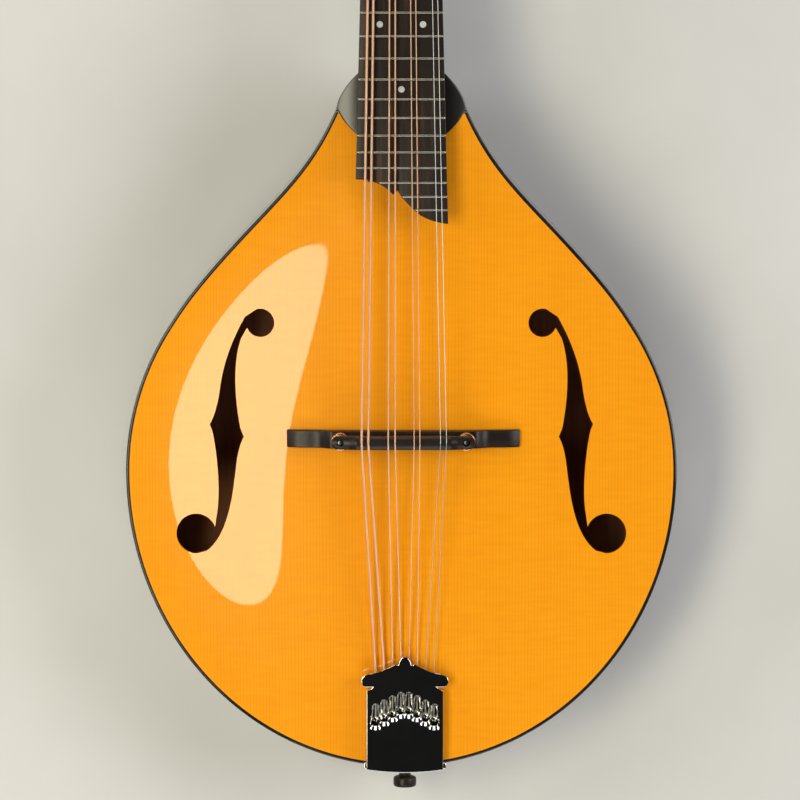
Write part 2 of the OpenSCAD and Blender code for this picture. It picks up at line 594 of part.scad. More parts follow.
// The saddle's crest falls away from the strings on both sides
saddle_side = [[-3.3, saddle_z], [3.3, saddle_z], [3.3, string_z - 0.4], [0.5, string_z + 0.25],
    [-0.5, string_z + 0.25], [-3.3, string_z - 0.6]];
saddle_half = saddle_len / 2;
saddle_front = [[-saddle_half, saddle_z], [saddle_half, saddle_z], [saddle_half, string_z - 2.4],
    [saddle_half - 9, string_z - 1.2], [25, string_z + 1], [-25, string_z + 1],
    [9 - saddle_half, string_z - 1.2], [-saddle_half, string_z - 2.4]];
saddle_r = 3.3;
module bridge_saddle() color("#241d1b") at_rest() difference() {
    translate([bridge_x, saddle_y, 0]) intersection() {
        translate([-saddle_half, 0, 0]) rotate([90, 0, 90]) linear_extrude(saddle_len) polygon(saddle_side);
        translate([0, saddle_r, 0]) rotate([90, 0, 0]) linear_extrude(2 * saddle_r) polygon(saddle_front);
        union() {
            box([saddle_r - saddle_half, -saddle_r, saddle_z], [saddle_half - saddle_r, saddle_r, far]);
            for (side = [-1, 1]) translate([side * (saddle_half - saddle_r), 0, saddle_z])
                cylinder(h = 20, r = saddle_r);
        }
    }
    at_bridge_posts() cylinder(h = far, r = bridge_post_r + 0.1);
    for (i = [1:8]) let (path = string_path(i)) {
        groove(path[2], path[1], radius(i) + slip);
        groove(path[2], path[3], radius(i) + slip);
    }
}
module thumbwheel(side) color("#c07a4a") at_rest()
    translate([bridge_x + side * bridge_post_gap / 2, saddle_y, saddle_z - wheel_t - slip]) difference() {
        cylinder(h = wheel_t, r = 4.7);
        translate([0, 0, -1]) cylinder(h = far, r = bridge_post_r + slip);
    }
module thumbwheel_bass() thumbwheel(-1);
module thumbwheel_treble() thumbwheel(1);

// ---------------------------------------------------------------- tailpiece and end pin

tail_back = -0.9;       // rear edge of the flat face, inside the flange
lobe_r = 3.4;
lobe = [19, 45.8];
tail_half = concat(
    [[0, tail_back], [tail_half_w, tail_back], [tail_half_w, 41], [16.1, 42.6]],
    arc_points(lobe, lobe_r, -60, 65, 6),
    bezier_points([19.5, 49.5], [14, 50], [9.5, 52.2], [4.85, 54.9], 6),
    [[3.3, 54.2]],
    bezier_points([2.9, 56], [2.2, 57.6], [1.2, 58.6], [0, 58.8], 3));
tail_lip_t = 2.6;
tail_block_t = 6;
drop_top = [33.5, 35.6, 37.8, 39.6];            // upper end of each string opening, outer to inner
drop_len = 13.2;
drop_r = [1.1, 2.05];
// A drop-shaped opening with a small round upper end and a large round lower end
function drop_points(x, top) = let (low = top - drop_len + drop_r[1], high = top - drop_r[0],
        lean = asin((drop_r[1] - drop_r[0]) / (high - low)))
    concat(arc_points([x, low], drop_r[1], -180 - lean, lean, 10),
           arc_points([x, high], drop_r[0], lean, 180 - lean, 6));
flange_r = 131;
flange_y = tail_y - 0.4 + flange_r;
flange_t = 2;
flange_low = -30;
tail_screw_x = 12;
tail_screw_z = -8;

// The flat face, its thick rear half and the eight openings in which the strings are hooked
module tail_face() on_tail() {
    difference() {
        union() {
            slab(both_sides(tail_half), -tail_lip_t, tail_lip_t);
            box([-tail_half_w, tail_back, -tail_block_t], [tail_half_w, 41, -1]);
        }
        for (i = [1:8]) {
            slab(drop_points(string_tail_x[i - 1], drop_top[from_edge(i)]), -4.9, 6);
            box([string_tail_x[i - 1] - 1, hook_place(i).y, -4.6], [string_tail_x[i - 1] + 1, 42, -2.2]);
        }
        box([-15, 3, -far], [15, 16, -2.5]);
    }
    for (i = [1:8]) translate([hook_place(i).x, hook_place(i).y, -5.2]) cylinder(h = 4, r = hook_r, $fn = 24);
}
// The flange that follows the curve of the tail and takes the screws and the end pin
module tail_flange() translate([tail_x, flange_y, 0]) difference() {
    translate([0, 0, flange_low]) cylinder(h = tail_z - 0.1 - flange_low, r = flange_r + flange_t);
    cylinder(h = far, r = flange_r, center = true);
    box([-far, 10 - flange_r, -far], [far, far, far]);
    box([-far, -far, -far], [-tail_half_w, far, far]);
    box([tail_half_w, -far, -far], [far, far, far]);
    translate([0, 0, pin_z]) rotate([90, 0, 0]) cylinder(h = far, r = 4.4);
    for (side = [-1, 1]) translate([side * tail_screw_x, 0, tail_screw_z])
        rotate([90, 0, 0]) cylinder(h = far, r = 1.45);
}
module tailpiece() color("silver") at_rest() {
    tail_face();
    tail_flange();
    // Small feet that grip the edge of the soundboard
    for (side = [-1, 1]) box([tail_x + side * 19.9 - 1.3, tail_y - 0.8, 5.4],
        [tail_x + side * 19.9 + 1.3, tail_y + 2.5, 8]);
}
module tailpiece_screws() color("silver") at_rest() for (side = [-1, 1])
    translate([tail_x + side * tail_screw_x, tail_y - 2.4, tail_screw_z]) rotate([90, 0, 0]) screw(1.25, 16);
pin_neck_r = 2.9;
module end_pin() color("#1d1816") at_rest() translate([tail_x, 0, pin_z]) rotate([90, 0, 0])
    rotate_extrude() polygon(concat(
        [[0, 155], [3.85, 155], [3.85, 175.4], [4.9, 177.2], [4.9, 178], [pin_neck_r, 179.4]],
        [[pin_neck_r, 180.6]],
        arc_points([pin_head_r - 1.6, 183.8], 1.6, -80, 0, 4),
        arc_points([pin_head_r - 1.6, -pin_end - 1.6], 1.6, 0, 90, 4),
        [[0, -pin_end]]));

// ---------------------------------------------------------------- tuning machines

tuner_plate_t = 1.2;
tuner_plate_x = [post_x - 7, post_x + 7];
gear_teeth = 16;
gear_pitch_r = 5.2;
worm_pitch_r = 2.5;
worm_lead = 2 * PI * gear_pitch_r / gear_teeth;
worm_y = gear_pitch_r + worm_pitch_r;
gear_z = -head_t - 4.7;
gear_t = 2.4;
shaft_r = 1.6;
post_r = 3;
knob_x = [16.4, 30];            // the knob's two ends, measured from the row of posts

module tuner_plate(side) color("silver") at_rest() on_head() on_side(side) difference() {
    union() {
        box([tuner_plate_x[0], first_post_y - 9, -head_t - tuner_plate_t],
            [tuner_plate_x[1], first_post_y + 3 * post_pitch + 16, -head_t - slip]);
        for (k = [0:3], x = [-6.4, 5]) translate([post_x + x, first_post_y + k * post_pitch + worm_y, 0])
            box([0, -2.6, gear_z - 2.4], [1.4, 2.6, -head_t - tuner_plate_t]);
    }
    for (k = [0:3]) translate([post_x, first_post_y + k * post_pitch, 0]) {
        translate([0, 0, -far / 2]) cylinder(h = far, r = post_r + slip);
        translate([-20, worm_y, gear_z]) rotate([0, 90, 0]) cylinder(h = 40, r = shaft_r + slip);
    }
    plate_screw_places() translate([0, 0, -far / 2]) cylinder(h = far, r = 1.15);
}
module plate_screw_places() for (y = [first_post_y - 6, first_post_y + 3 * post_pitch + 13,
        first_post_y + 1.5 * post_pitch + 1])
    translate([y > 100 || y < 40 ? post_x : post_x + 3, y, 0]) children();
module tuner_plate_bass() tuner_plate(-1);
module tuner_plate_treble() tuner_plate(1);
module tuner_screws() color("silver") at_rest() on_head() for (side = [-1, 1]) on_side(side)
    plate_screw_places() translate([0, 0, -head_t - tuner_plate_t - slip]) mirror([0, 0, 1]) screw(1, 1.1);

module post_bushings() color("silver") at_rest() on_head() at_posts() rotate_extrude()
    polygon([[post_r + slip, -6], [bushing_r, -6], [bushing_r, overlay_t + slip], [5.2, overlay_t + slip],
        [5.2, 2.6], [4.6, 3.2], [post_r + slip, 3.2]]);

// The post with its gear, the gear's screw and the string's turns, all turning as one
tooth = [[4.4, 6.4], [5.2, 3.7], [5.8, 1.8]];      // radius and half angle up the flank of a tooth
gear_outline = [for (k = [0:gear_teeth - 1]) each [for (s = [-1, 1], j = [0:2])
    let (t = s < 0 ? tooth[j] : tooth[2 - j]) t[0] * direction(360 / gear_teeth * k + s * t[1])]];
winding_turns = 3;
module tuner_post(i) color("silver") at_rest() on_head()
    translate([post_place(i).x, post_place(i).y, 0]) {
        translate([0, 0, gear_z - gear_t / 2]) rotate([0, 0, 90]) linear_extrude(gear_t)
            polygon(gear_outline);
        rotate_extrude() polygon([[0, gear_z - 2.6], [1.6, gear_z - 2.6], [2.4, gear_z - 2],
            [2.4, gear_z - gear_t / 2], [0, gear_z - gear_t / 2]]);
        rotate_extrude() polygon([[0, gear_z + gear_t / 2], [post_r, gear_z + gear_t / 2],
            [post_r, 3.4], [post_waist_r, 3.9], [post_waist_r, 8.6], [post_r, 9.4], [post_r, 12.4],
            [2.2, 13.2], [0, 13.2]]);
        for (k = [0:winding_turns - 1]) translate([0, 0, winding_z + (k - 1) * 2 * radius(i)])
            rotate_extrude() translate([post_waist_r + radius(i), 0]) circle(radius(i), $fn = 16);
    }
module tuner_post_1() tuner_post(1);
module tuner_post_2() tuner_post(2);
module tuner_post_3() tuner_post(3);
module tuner_post_4() tuner_post(4);
module tuner_post_5() tuner_post(5);
module tuner_post_6() tuner_post(6);
module tuner_post_7() tuner_post(7);
module tuner_post_8() tuner_post(8);

// The worm's thread, a flat-sided helix round the X axis
worm_turns = 3.5;
worm_steps = 12;
worm_flank = [[0.6, 1.68], [0.15, 3.1], [-0.15, 3.1], [-0.6, 1.68]];
function worm_ring(k) = let (a = 360 * k / worm_steps, x = worm_lead * k / worm_steps)
    [for (p = worm_flank) [x + p.x, p.y * cos(a), p.y * sin(a)]];
module worm_thread() loft([for (k = [-1:2 / (worm_turns * worm_steps):1.001])
    worm_ring(k * worm_turns * worm_steps / 2)]);
function oval(a, b, power, n) = [for (i = [0:n - 1]) let (t = 360 * i / n)
    [a * sign(cos(t)) * pow(abs(cos(t)), power), b * sign(sin(t)) * pow(abs(sin(t)), power)]];
module tuner_knob(i) color("ivory") at_rest() on_head()
    translate([post_place(i).x, post_place(i).y + worm_y, gear_z]) on_side(i <= 4 ? -1 : 1) {
        rotate([0, 90, 0]) cylinder(h = knob_x[0], r = shaft_r);
        rotate([0, -90, 0]) cylinder(h = 7, r = shaft_r);
        translate([knob_x[0] - 2, 0, 0]) rotate([0, 90, 0]) cylinder(h = 3, r = 2.6);
        translate([(knob_x[0] + knob_x[1]) / 2, 0, -2.8]) linear_extrude(5.6)
            polygon(oval((knob_x[1] - knob_x[0]) / 2, 6, 0.8, 32));
        worm_thread();
    }
module tuner_knob_1() tuner_knob(1);
module tuner_knob_2() tuner_knob(2);
module tuner_knob_3() tuner_knob(3);
module tuner_knob_4() tuner_knob(4);
module tuner_knob_5() tuner_knob(5);
module tuner_knob_6() tuner_knob(6);
module tuner_knob_7() tuner_knob(7);
module tuner_knob_8() tuner_knob(8);

soundboard();
back_plate();
rib_bass();
rib_treble();
head_block();
tail_block();
top_linings();
back_linings();
tone_bars();
top_binding();
back_binding();
neck();
headstock();
headstock_overlay();
truss_rod();
truss_rod_nut();
truss_rod_cover();
truss_cover_screws();
fretboard();
frets();
position_dots();
side_dots();
nut();
bridge_base();
bridge_posts();
bridge_saddle();
thumbwheel_bass();
thumbwheel_treble();
tailpiece();
tailpiece_screws();
end_pin();
tuner_plate_bass();
tuner_plate_treble();
tuner_screws();
post_bushings();
string_1();
string_2();
string_3();
string_4();
string_5();
string_6();
string_7();
string_8();
tuner_post_1();
tuner_post_2();
tuner_post_3();
tuner_post_4();
tuner_post_5();
tuner_post_6();
tuner_post_7();
tuner_post_8();
tuner_knob_1();
tuner_knob_2();
tuner_knob_3();
tuner_knob_4();
tuner_knob_5();
tuner_knob_6();
tuner_knob_7();
tuner_knob_8();
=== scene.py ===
import json
from math import asin, atan2, copysign, cos, degrees, pi, radians, sin, sqrt, tan

import bmesh
import bpy
import numpy as np
from mathutils import Matrix, Vector


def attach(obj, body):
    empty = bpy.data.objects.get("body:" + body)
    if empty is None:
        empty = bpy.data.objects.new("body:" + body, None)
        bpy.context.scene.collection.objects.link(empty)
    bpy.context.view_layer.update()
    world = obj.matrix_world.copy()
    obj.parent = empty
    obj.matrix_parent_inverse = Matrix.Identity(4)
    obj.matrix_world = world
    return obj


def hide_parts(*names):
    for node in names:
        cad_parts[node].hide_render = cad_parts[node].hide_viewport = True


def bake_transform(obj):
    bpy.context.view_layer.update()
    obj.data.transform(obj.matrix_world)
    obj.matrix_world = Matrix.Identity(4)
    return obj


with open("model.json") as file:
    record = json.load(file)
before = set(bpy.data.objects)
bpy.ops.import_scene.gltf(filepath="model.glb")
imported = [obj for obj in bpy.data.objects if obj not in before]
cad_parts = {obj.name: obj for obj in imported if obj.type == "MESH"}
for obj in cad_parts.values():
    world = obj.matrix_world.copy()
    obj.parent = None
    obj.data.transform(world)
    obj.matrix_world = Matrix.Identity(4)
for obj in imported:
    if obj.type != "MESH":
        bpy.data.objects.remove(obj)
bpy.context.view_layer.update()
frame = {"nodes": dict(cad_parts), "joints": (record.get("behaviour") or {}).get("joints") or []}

# Pieces are drawn in millimetres in the CAD's own frames: BODY (z = 0 is the plane on which the
# soundboard is glued, and y runs from about the bridge towards the neck), BOARD (the fretboard's
# face), HEAD (the headstock's face) and TAIL (the tailpiece's face). BACK is BODY turned inside out,
# for the back. In names, _X, _Y and _Z are places, _W, _H and _T are widths, heights and thicknesses,
# _R is a radius.

SCALE_LEN = 403
NUT_Y = 405.4
HEAD_Y = NUT_Y + 5.2
BOARD_Z = 32.2
BOARD_T = 5
NUT_HALF_W = 16.6
BOARD_TAPER = 0.0242
FRETS = 22
NECK_DEPTH = 14.5
HEAD_LEN = 155
HEAD_T = 14
OVERLAY_T = 2
POST_X = 23.5
FIRST_POST_Y = 38
POST_PITCH = 23.2
BODY_HALF_W = 141.35
BODY_MID_Y = -20.6
BOUT_LEN = 153
BOUT_H = 139
HEEL_Y = 165
HEEL_FACE_Y = 164.2
RIB_H = 40
RIB_T = 2.5
EDGE_T = 4.5
BINDING_T = 1.7
TOP_ARCH = 16.5
BACK_ARCH = 17
BRIDGE_X = 1
BASE_Y = -2.2
SADDLE_Y = -2.8
BRIDGE_HALF = 59.5
BRIDGE_W = 9
SADDLE_HALF = 36.6
SADDLE_Z = 28.5
POST_GAP = 64.2
STRING_Z = 36.5
WHEEL_Z = 27.2
TAIL_X = 1.8
TAIL_Y = BODY_MID_Y - BOUT_LEN + 0.1
TAIL_Z = 11
TAIL_HALF_W = 19.7
PIN_Z = -20
PIN_END = 187.8
GAP = 0.05  # left between faces that would touch

joints = {j["name"]: j for j in frame["joints"]}
lift_axis = Vector(joints["saddle_height"]["axis"])
wheel_at = Vector(joints["wheel_treble_turn"]["pos_m"])
rest_turn = Matrix.Rotation(atan2(-lift_axis.y, lift_axis.z), 4, "X")
wheel_in_body = Vector((BRIDGE_X + POST_GAP / 2, SADDLE_Y, WHEEL_Z))


def turned(angle, axis="X"):
    return Matrix.Rotation(radians(angle), 4, axis)


def moved(x, y, z):
    return Matrix.Translation((x, y, z))


BODY = moved(*(wheel_at - rest_turn @ (wheel_in_body * 0.001))) @ rest_turn @ Matrix.Scale(0.001, 4)
BACK = BODY @ moved(0, 0, -RIB_H) @ Matrix.Scale(-1, 4, (0, 0, 1))
BOARD = BODY @ moved(0, 0, BOARD_Z) @ turned(-5.5)
HEAD = BOARD @ moved(0, HEAD_Y, -BOARD_T) @ turned(-15)
TAIL = BODY @ moved(TAIL_X, TAIL_Y, TAIL_Z) @ turned(4)


def between(source, target, p):
    """The point p of one frame, in another frame."""
    return target.inverted() @ (source @ Vector(p))


# ---- curves and arching

def bezier(a, b, c, d, n):
    a, b, c, d = (np.array(p, float) for p in (a, b, c, d))
    t = np.linspace(0, 1, n + 1)[:, None]
    points = (1 - t) ** 3 * a + 3 * (1 - t) ** 2 * t * b + 3 * (1 - t) * t * t * c + t ** 3 * d
    return [tuple(p) for p in points]


def arc(centre, r, start, end, n):
    angles = [radians(start + (end - start) * i / n) for i in range(n + 1)]
    return [(centre[0] + r * cos(a), centre[1] + r * sin(a)) for a in angles]


def circle(centre, r, n):
    return arc(centre, r, 0, 360, n)[:-1]


def whole_turn(n):
    return [2 * pi * i / n for i in range(n)]


def other_side(half):
    """The -X half of an outline whose +X half is given, run backwards, without the centre line."""
    return [(-x, y) for x, y in half if x > 0.01][::-1]


def both_sides(half):
    """A closed outline from its +X half, which runs from the centre line to the centre line."""
    return half + other_side(half)


def inset(points, d, closed=True):
    """The outline moved inwards by d, for an outline that runs anticlockwise."""
    p = np.array(points, float)
    along = np.roll(p, -1, 0) - np.roll(p, 1, 0) if closed else np.gradient(p, axis=0)
    along /= np.linalg.norm(along, axis=1)[:, None]
    return [tuple(q) for q in p + d * np.stack([-along[:, 1], along[:, 0]], 1)]


def unit(angle):
    return np.array([cos(radians(angle)), sin(radians(angle))])


LOWER_SHARE = 32  # degrees of the ellipse above the body's widest place, before the waist begins
WAIST_P, WAIST_DIR = np.array([76.3, 106.4]), unit(133.4)
HEEL_P, HEEL_DIR = np.array([33.5, HEEL_Y]), unit(114.1)


def on_ellipse(angle, height):
    a = radians(angle)
    return BODY_HALF_W * cos(a), BODY_MID_Y + height * sin(a)


def half_body_outline():
    """The body's edge from the tail to the heel, on the +X side."""
    turn = radians(LOWER_SHARE)
    turn_p = np.array(on_ellipse(LOWER_SHARE, BOUT_H))
    turn_dir = np.array([-BODY_HALF_W * sin(turn), BOUT_H * cos(turn)])
    turn_dir /= np.linalg.norm(turn_dir)
    return (
        [on_ellipse(i - 90, BOUT_LEN) for i in range(91)]
        + [on_ellipse(i, BOUT_H) for i in range(1, LOWER_SHARE + 1)]
        + bezier(turn_p, turn_p + 14 * turn_dir, WAIST_P - 43 * WAIST_DIR, WAIST_P, 34)[1:]
        + bezier(WAIST_P, WAIST_P + 29.5 * WAIST_DIR, HEEL_P - 28 * HEEL_DIR, HEEL_P, 30)[1:]
    )


HALF_EDGE = half_body_outline()
CLOSED_HALF = HALF_EDGE + [(22, HEEL_Y), (11, HEEL_Y), (0, HEEL_Y)]
EDGE = both_sides(CLOSED_HALF)
ARCH_MID = np.array([0, BODY_MID_Y])
_from_mid = np.array(CLOSED_HALF) - ARCH_MID
_edge_angle = np.arctan2(_from_mid[:, 1], _from_mid[:, 0])
_edge_reach = np.hypot(_from_mid[:, 0], _from_mid[:, 1])
CROWN_H = 187
SWELL = 1.45
RECURVE_AT = 0.944
RECURVE_DEPTH = 0.1
FLAT_FROM = 0.975


def reach(a):
    return np.interp(a, _edge_angle, _edge_reach)


def oval_reach(a):
    return np.where(a < 0, reach(a), 1 / np.hypot(np.cos(a) / BODY_HALF_W, np.sin(a) / CROWN_H))


def contour(q, a):
    return q * (q * q * reach(a) + (1 - q * q) * oval_reach(a))


def contour_of(x, y):
    """Which contour line, from 0 in the middle to 1 at the edge, passes through each point."""
    x, y = np.abs(x), y - BODY_MID_Y
    a = np.arctan2(y, x)
    r, full, oval = np.hypot(x, y), reach(a), oval_reach(a)
    q = r / oval
    for _ in range(12):
        q = q - (q * (q * q * full + (1 - q * q) * oval) - r) / (3 * q * q * (full - oval) + oval)
    return np.clip(q, 0, 1)


def arch(q, crown):
    low = EDGE_T - RECURVE_DEPTH
    dome = low + (crown - low) * (1 + np.cos(np.pi * np.clip(q / RECURVE_AT, 0, 1) ** SWELL)) / 2
    rim = np.clip((q - RECURVE_AT) / (FLAT_FROM - RECURVE_AT), 0, 1)
    return np.where(q < RECURVE_AT, dome, low + RECURVE_DEPTH * (1 - np.cos(np.pi * rim)) / 2)


def top_z(x, y):
    return float(arch(contour_of(np.asarray(x, float), np.asarray(y, float)), TOP_ARCH))


def arch_normals(x, y, crown):
    """Unit normals of the arched surface, in the BODY frame."""
    step = 0.4
    def height(u, v):
        return arch(contour_of(u, v), crown)
    dx = (height(x + step, y) - height(x - step, y)) / (2 * step)
    dy = (height(x, y + step) - height(x, y - step)) / (2 * step)
    n = np.stack([-dx, -dy, np.ones_like(dx)], 1)
    return n / np.linalg.norm(n, axis=1)[:, None]


# ---- mesh building

def add(name, data):
    obj = bpy.data.objects.new(name, data)
    bpy.context.scene.collection.objects.link(obj)
    return obj


def solid_object(name, solid, place):
    points, faces = solid
    mesh = bpy.data.meshes.new(name)
    mesh.from_pydata([tuple(place @ Vector(p)) for p in points], [], faces)
    fix = bmesh.new()
    fix.from_mesh(mesh)
    bmesh.ops.recalc_face_normals(fix, faces=fix.faces)
    fix.to_mesh(mesh)
    fix.free()
    return add(name, mesh)


def shade(obj, sharp):
    obj.data.shade_smooth()
    obj.data.set_sharp_from_angle(angle=radians(sharp))


def apply_modifiers(obj):
    depsgraph = bpy.context.evaluated_depsgraph_get()
    depsgraph.update()
    made = bpy.data.meshes.new_from_object(obj.evaluated_get(depsgraph))
    obj.modifiers.clear()
    obj.data = made


def piece(name, solid, place, look, *nodes, body="instrument", slot=None, sharp=38, bevel=0, steps=3):
    """A named mesh, drawn in one of the frames, which rides on a body and may stand for CAD nodes."""
    obj = solid_object(name, solid, place)
    obj.data.materials.append(M[look])
    if bevel:
        rounding = obj.modifiers.new("rounding", "BEVEL")
        rounding.width = bevel * 0.001
        rounding.segments = steps
        rounding.limit_method = "ANGLE"
        rounding.angle_limit = radians(sharp)
        apply_modifiers(obj)
    shade(obj, sharp)
    if body:
        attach(obj, body)
    if nodes:
        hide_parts(*nodes)
    return obj


def cut(obj, solid, place, sharp=38):
    """Takes a solid away from a piece."""
    cutter = solid_object("cutter", solid, place)
    subtract = obj.modifiers.new("cut", "BOOLEAN")
    subtract.operation = "DIFFERENCE"
    subtract.solver = "EXACT"
    subtract.object = cutter
    apply_modifiers(obj)
    bpy.data.objects.remove(cutter)
    shade(obj, sharp)


def ring_faces(rings, n, caps=True, closed_loop=False):
    """Faces of a skin through rings of n points each."""
    faces = []
    for k in range(rings if closed_loop else rings - 1):
        low, high = k * n, (k + 1) % rings * n
        faces += [(low + i, low + (i + 1) % n, high + (i + 1) % n, high + i) for i in range(n)]
    if caps and not closed_loop:
        faces += [tuple(range(n - 1, -1, -1)), tuple((rings - 1) * n + i for i in range(n))]
    return faces


def skin(rings, **options):
    """Points and faces of a solid skin through rings of equal length."""
    points = [tuple(p) for ring in rings for p in ring]
    return points, ring_faces(len(rings), len(rings[0]), **options)


def level(outline, z):
    return [(x, y, z) for x, y in outline]


def prism(outline, low, high):
    return skin([level(outline, z) for z in (low, high)])


def block(low, high):
    (x0, y0, z0), (x1, y1, z1) = low, high
    return prism([(x0, y0), (x1, y0), (x1, y1), (x0, y1)], z0, z1)


def lathe(profile, n=48):
    """A solid of revolution about z from (r, z) points; it closes on the axis where r is 0."""
    rings = [[(r * cos(a), r * sin(a), z) for a in whole_turn(n)] for r, z in profile if r > 1e-6]
    closed = profile[0][0] > 1e-6 and profile[-1][0] > 1e-6
    return skin(rings, caps=not closed, closed_loop=closed)


def joined(*solids):
    """Several solids as the points and faces of one piece."""
    points, faces = [], []
    for solid_points, solid_faces in solids:
        start = len(points)
        points += solid_points
        faces += [tuple(i + start for i in f) for f in solid_faces]
    return points, faces


def placed(solid, place):
    """A solid drawn in its own frame, moved into another."""
    return [tuple(place @ Vector(p)) for p in solid[0]], solid[1]


def copies(solid, places):
    """The same solid in several places, as one piece."""
    return joined(*[placed(solid, place) for place in places])


def round_holes(places, r, low, high, n=40):
    return joined(*[prism(circle(p, r, n), low, high) for p in places])


def tube(path, r, sides=16):
    """A round tube of radius r along a path."""
    path = [Vector(p) for p in path]
    rings = []
    side = None
    for k, p in enumerate(path):
        along = (path[min(k + 1, len(path) - 1)] - path[max(k - 1, 0)]).normalized()
        if side is None:
            side = along.cross(Vector((0, 0, 1)) if abs(along.z) < 0.9 else Vector((1, 0, 0)))
        side = (side - along * side.dot(along)).normalized()
        up = side.cross(along)
        rings.append([p + r * (cos(a) * side + sin(a) * up) for a in whole_turn(sides)])
    return skin(rings)


# ---- materials

class Paint:
    """A new material with its shader. Patterns are laid in object coordinates, in metres."""

    def __init__(self, name, roughness=0.4, metallic=0, coat=0, coat_roughness=0.03):
        self.made = bpy.data.materials.new(name)
        self.made.use_nodes = True
        self.tree = self.made.node_tree
        self.shader = self.tree.nodes["Principled BSDF"]
        self.shader.inputs["Roughness"].default_value = roughness
        self.shader.inputs["Metallic"].default_value = metallic
        self.shader.inputs["IOR"].default_value = 1.5
        if coat:
            self.shader.inputs["Coat Weight"].default_value = coat
            self.shader.inputs["Coat Roughness"].default_value = coat_roughness

    def join(self, socket, value):
        """Links a socket to another node's output, or sets it to a constant."""
        if hasattr(value, "is_output"):
            self.tree.links.new(value, socket)
        else:
            socket.default_value = value

    def node(self, kind, **inputs):
        node = self.tree.nodes.new("ShaderNode" + kind)
        for name, value in inputs.items():
            self.join(node.inputs[name.replace("_", " ")], value)
        return node

    def coordinates(self, scale=1):
        scale = (scale,) * 3 if np.isscalar(scale) else scale
        place = self.node("TexCoord").outputs["Object"]
        return self.node("Mapping", Vector=place, Scale=scale).outputs["Vector"]

    def noise(self, scale, detail=3, rough=0.55):
        return self.node("TexNoise", Scale=1, Detail=detail, Roughness=rough,
                         Vector=self.coordinates(scale)).outputs["Fac"]

    def ramp(self, factor, *stops):
        node = self.node("ValToRGB", Fac=factor)
        while len(node.color_ramp.elements) < len(stops):
            node.color_ramp.elements.new(0.5)
        for element, (at, colour) in zip(node.color_ramp.elements, stops):
            element.position = at
            element.color = (*colour, 1)
        return node.outputs["Color"]

    def mix(self, factor, *colours):
        node = self.node("Mix")
        node.data_type = "RGBA"
        self.join(node.inputs[0], factor)
        for socket, colour in zip((6, 7), colours):
            self.join(node.inputs[socket], (*colour, 1) if isinstance(colour, tuple) else colour)
        return node.outputs[2]

    def scaled(self, factor, low, high):
        return self.node("MapRange", Value=factor, To_Min=low, To_Max=high).outputs["Result"]

    def bump(self, height, distance, strength, *sockets):
        node = self.node("Bump", Height=height, Distance=distance, Strength=strength)
        for socket in ("Normal", *sockets):
            self.join(self.shader.inputs[socket], node.outputs["Normal"])

    def finish(self, colour, gloss_pattern, low, high):
        """The finished material, whose roughness follows a pattern between two values."""
        self.join(self.shader.inputs["Base Color"], colour)
        self.join(self.shader.inputs["Roughness"], self.scaled(gloss_pattern, low, high))
        return self.made


def spruce_top():
    """Straight vertical grain under an amber stain and a deep gloss."""
    paint = Paint("spruce_top", 0.38, coat=1.0, coat_roughness=0.025)
    shift = paint.node("VectorMath")
    shift.operation = "MULTIPLY_ADD"
    wander, sideways = paint.noise((6, 3, 6), 2), (0.004, 0, 0)
    for socket, value in zip(shift.inputs, (wander, sideways, paint.coordinates((1, 0.012, 1)))):
        paint.join(socket, value)
    lines = paint.node("TexWave", Scale=190, Distortion=1.6, Detail=2, Detail_Scale=1.2,
                       Vector=shift.outputs[0])
    lines.wave_profile = "SAW"
    grain = paint.ramp(lines.outputs["Fac"], (0, (0, 0, 0)), (0.72, (0.12,) * 3), (0.95, (1, 1, 1)))
    fibre = paint.noise((1500, 22, 300), 4)
    silk = paint.noise((70, 420, 200))
    broad = paint.noise((14, 3, 10))
    amber = paint.ramp(broad, (0.25, (0.86, 0.285, 0.004)), (0.75, (0.95, 0.350, 0.007)))
    dark = paint.mix(0.55, amber, (0.52, 0.13, 0.002))
    with_grain = paint.mix(paint.scaled(grain, 0, 0.75), amber, dark)
    with_fibre = paint.mix(paint.scaled(fibre, 0, 0.36), with_grain, (1.0, 0.45, 0.014))
    with_silk = paint.mix(paint.scaled(silk, -0.10, 0.40), with_fibre, (0.70, 0.20, 0.003))
    paint.shader.inputs["Specular IOR Level"].default_value = 0.1
    paint.bump(grain, 0.00002, 0.25)
    return paint.finish(with_silk, fibre, 0.30, 0.46)


def raw_wood(name, light, dark, scale=(500, 12, 500)):
    """Unfinished wood with its grain along Y."""
    paint = Paint(name, 0.7)
    fibre = paint.noise(scale, 4)
    paint.bump(fibre, 0.0001, 0.5)
    return paint.finish(paint.ramp(fibre, (0.3, dark), (0.7, light)), fibre, 0.62, 0.82)


def black_lacquer(name, coat, coat_roughness):
    """Black lacquer, with the faintest orange peel and polishing haze."""
    paint = Paint(name, 0.30, coat=coat, coat_roughness=coat_roughness)
    cloud = paint.noise(25, 4)
    paint.bump(paint.noise(260, 2), 0.00006, 0.06, "Coat Normal")
    colour = paint.ramp(cloud, (0.3, (0.006, 0.005, 0.005)), (0.7, (0.014, 0.012, 0.011)))
    return paint.finish(colour, cloud, 0.22, 0.38)


def clouded(name, roughness, scale, detail, light, dark, low, high):
    """A plain material with soft clouds in its colour and its gloss."""
    paint = Paint(name, roughness)
    cloud = paint.noise(scale, detail)
    return paint.finish(paint.ramp(cloud, (0.3, dark), (0.7, light)), cloud, low, high)


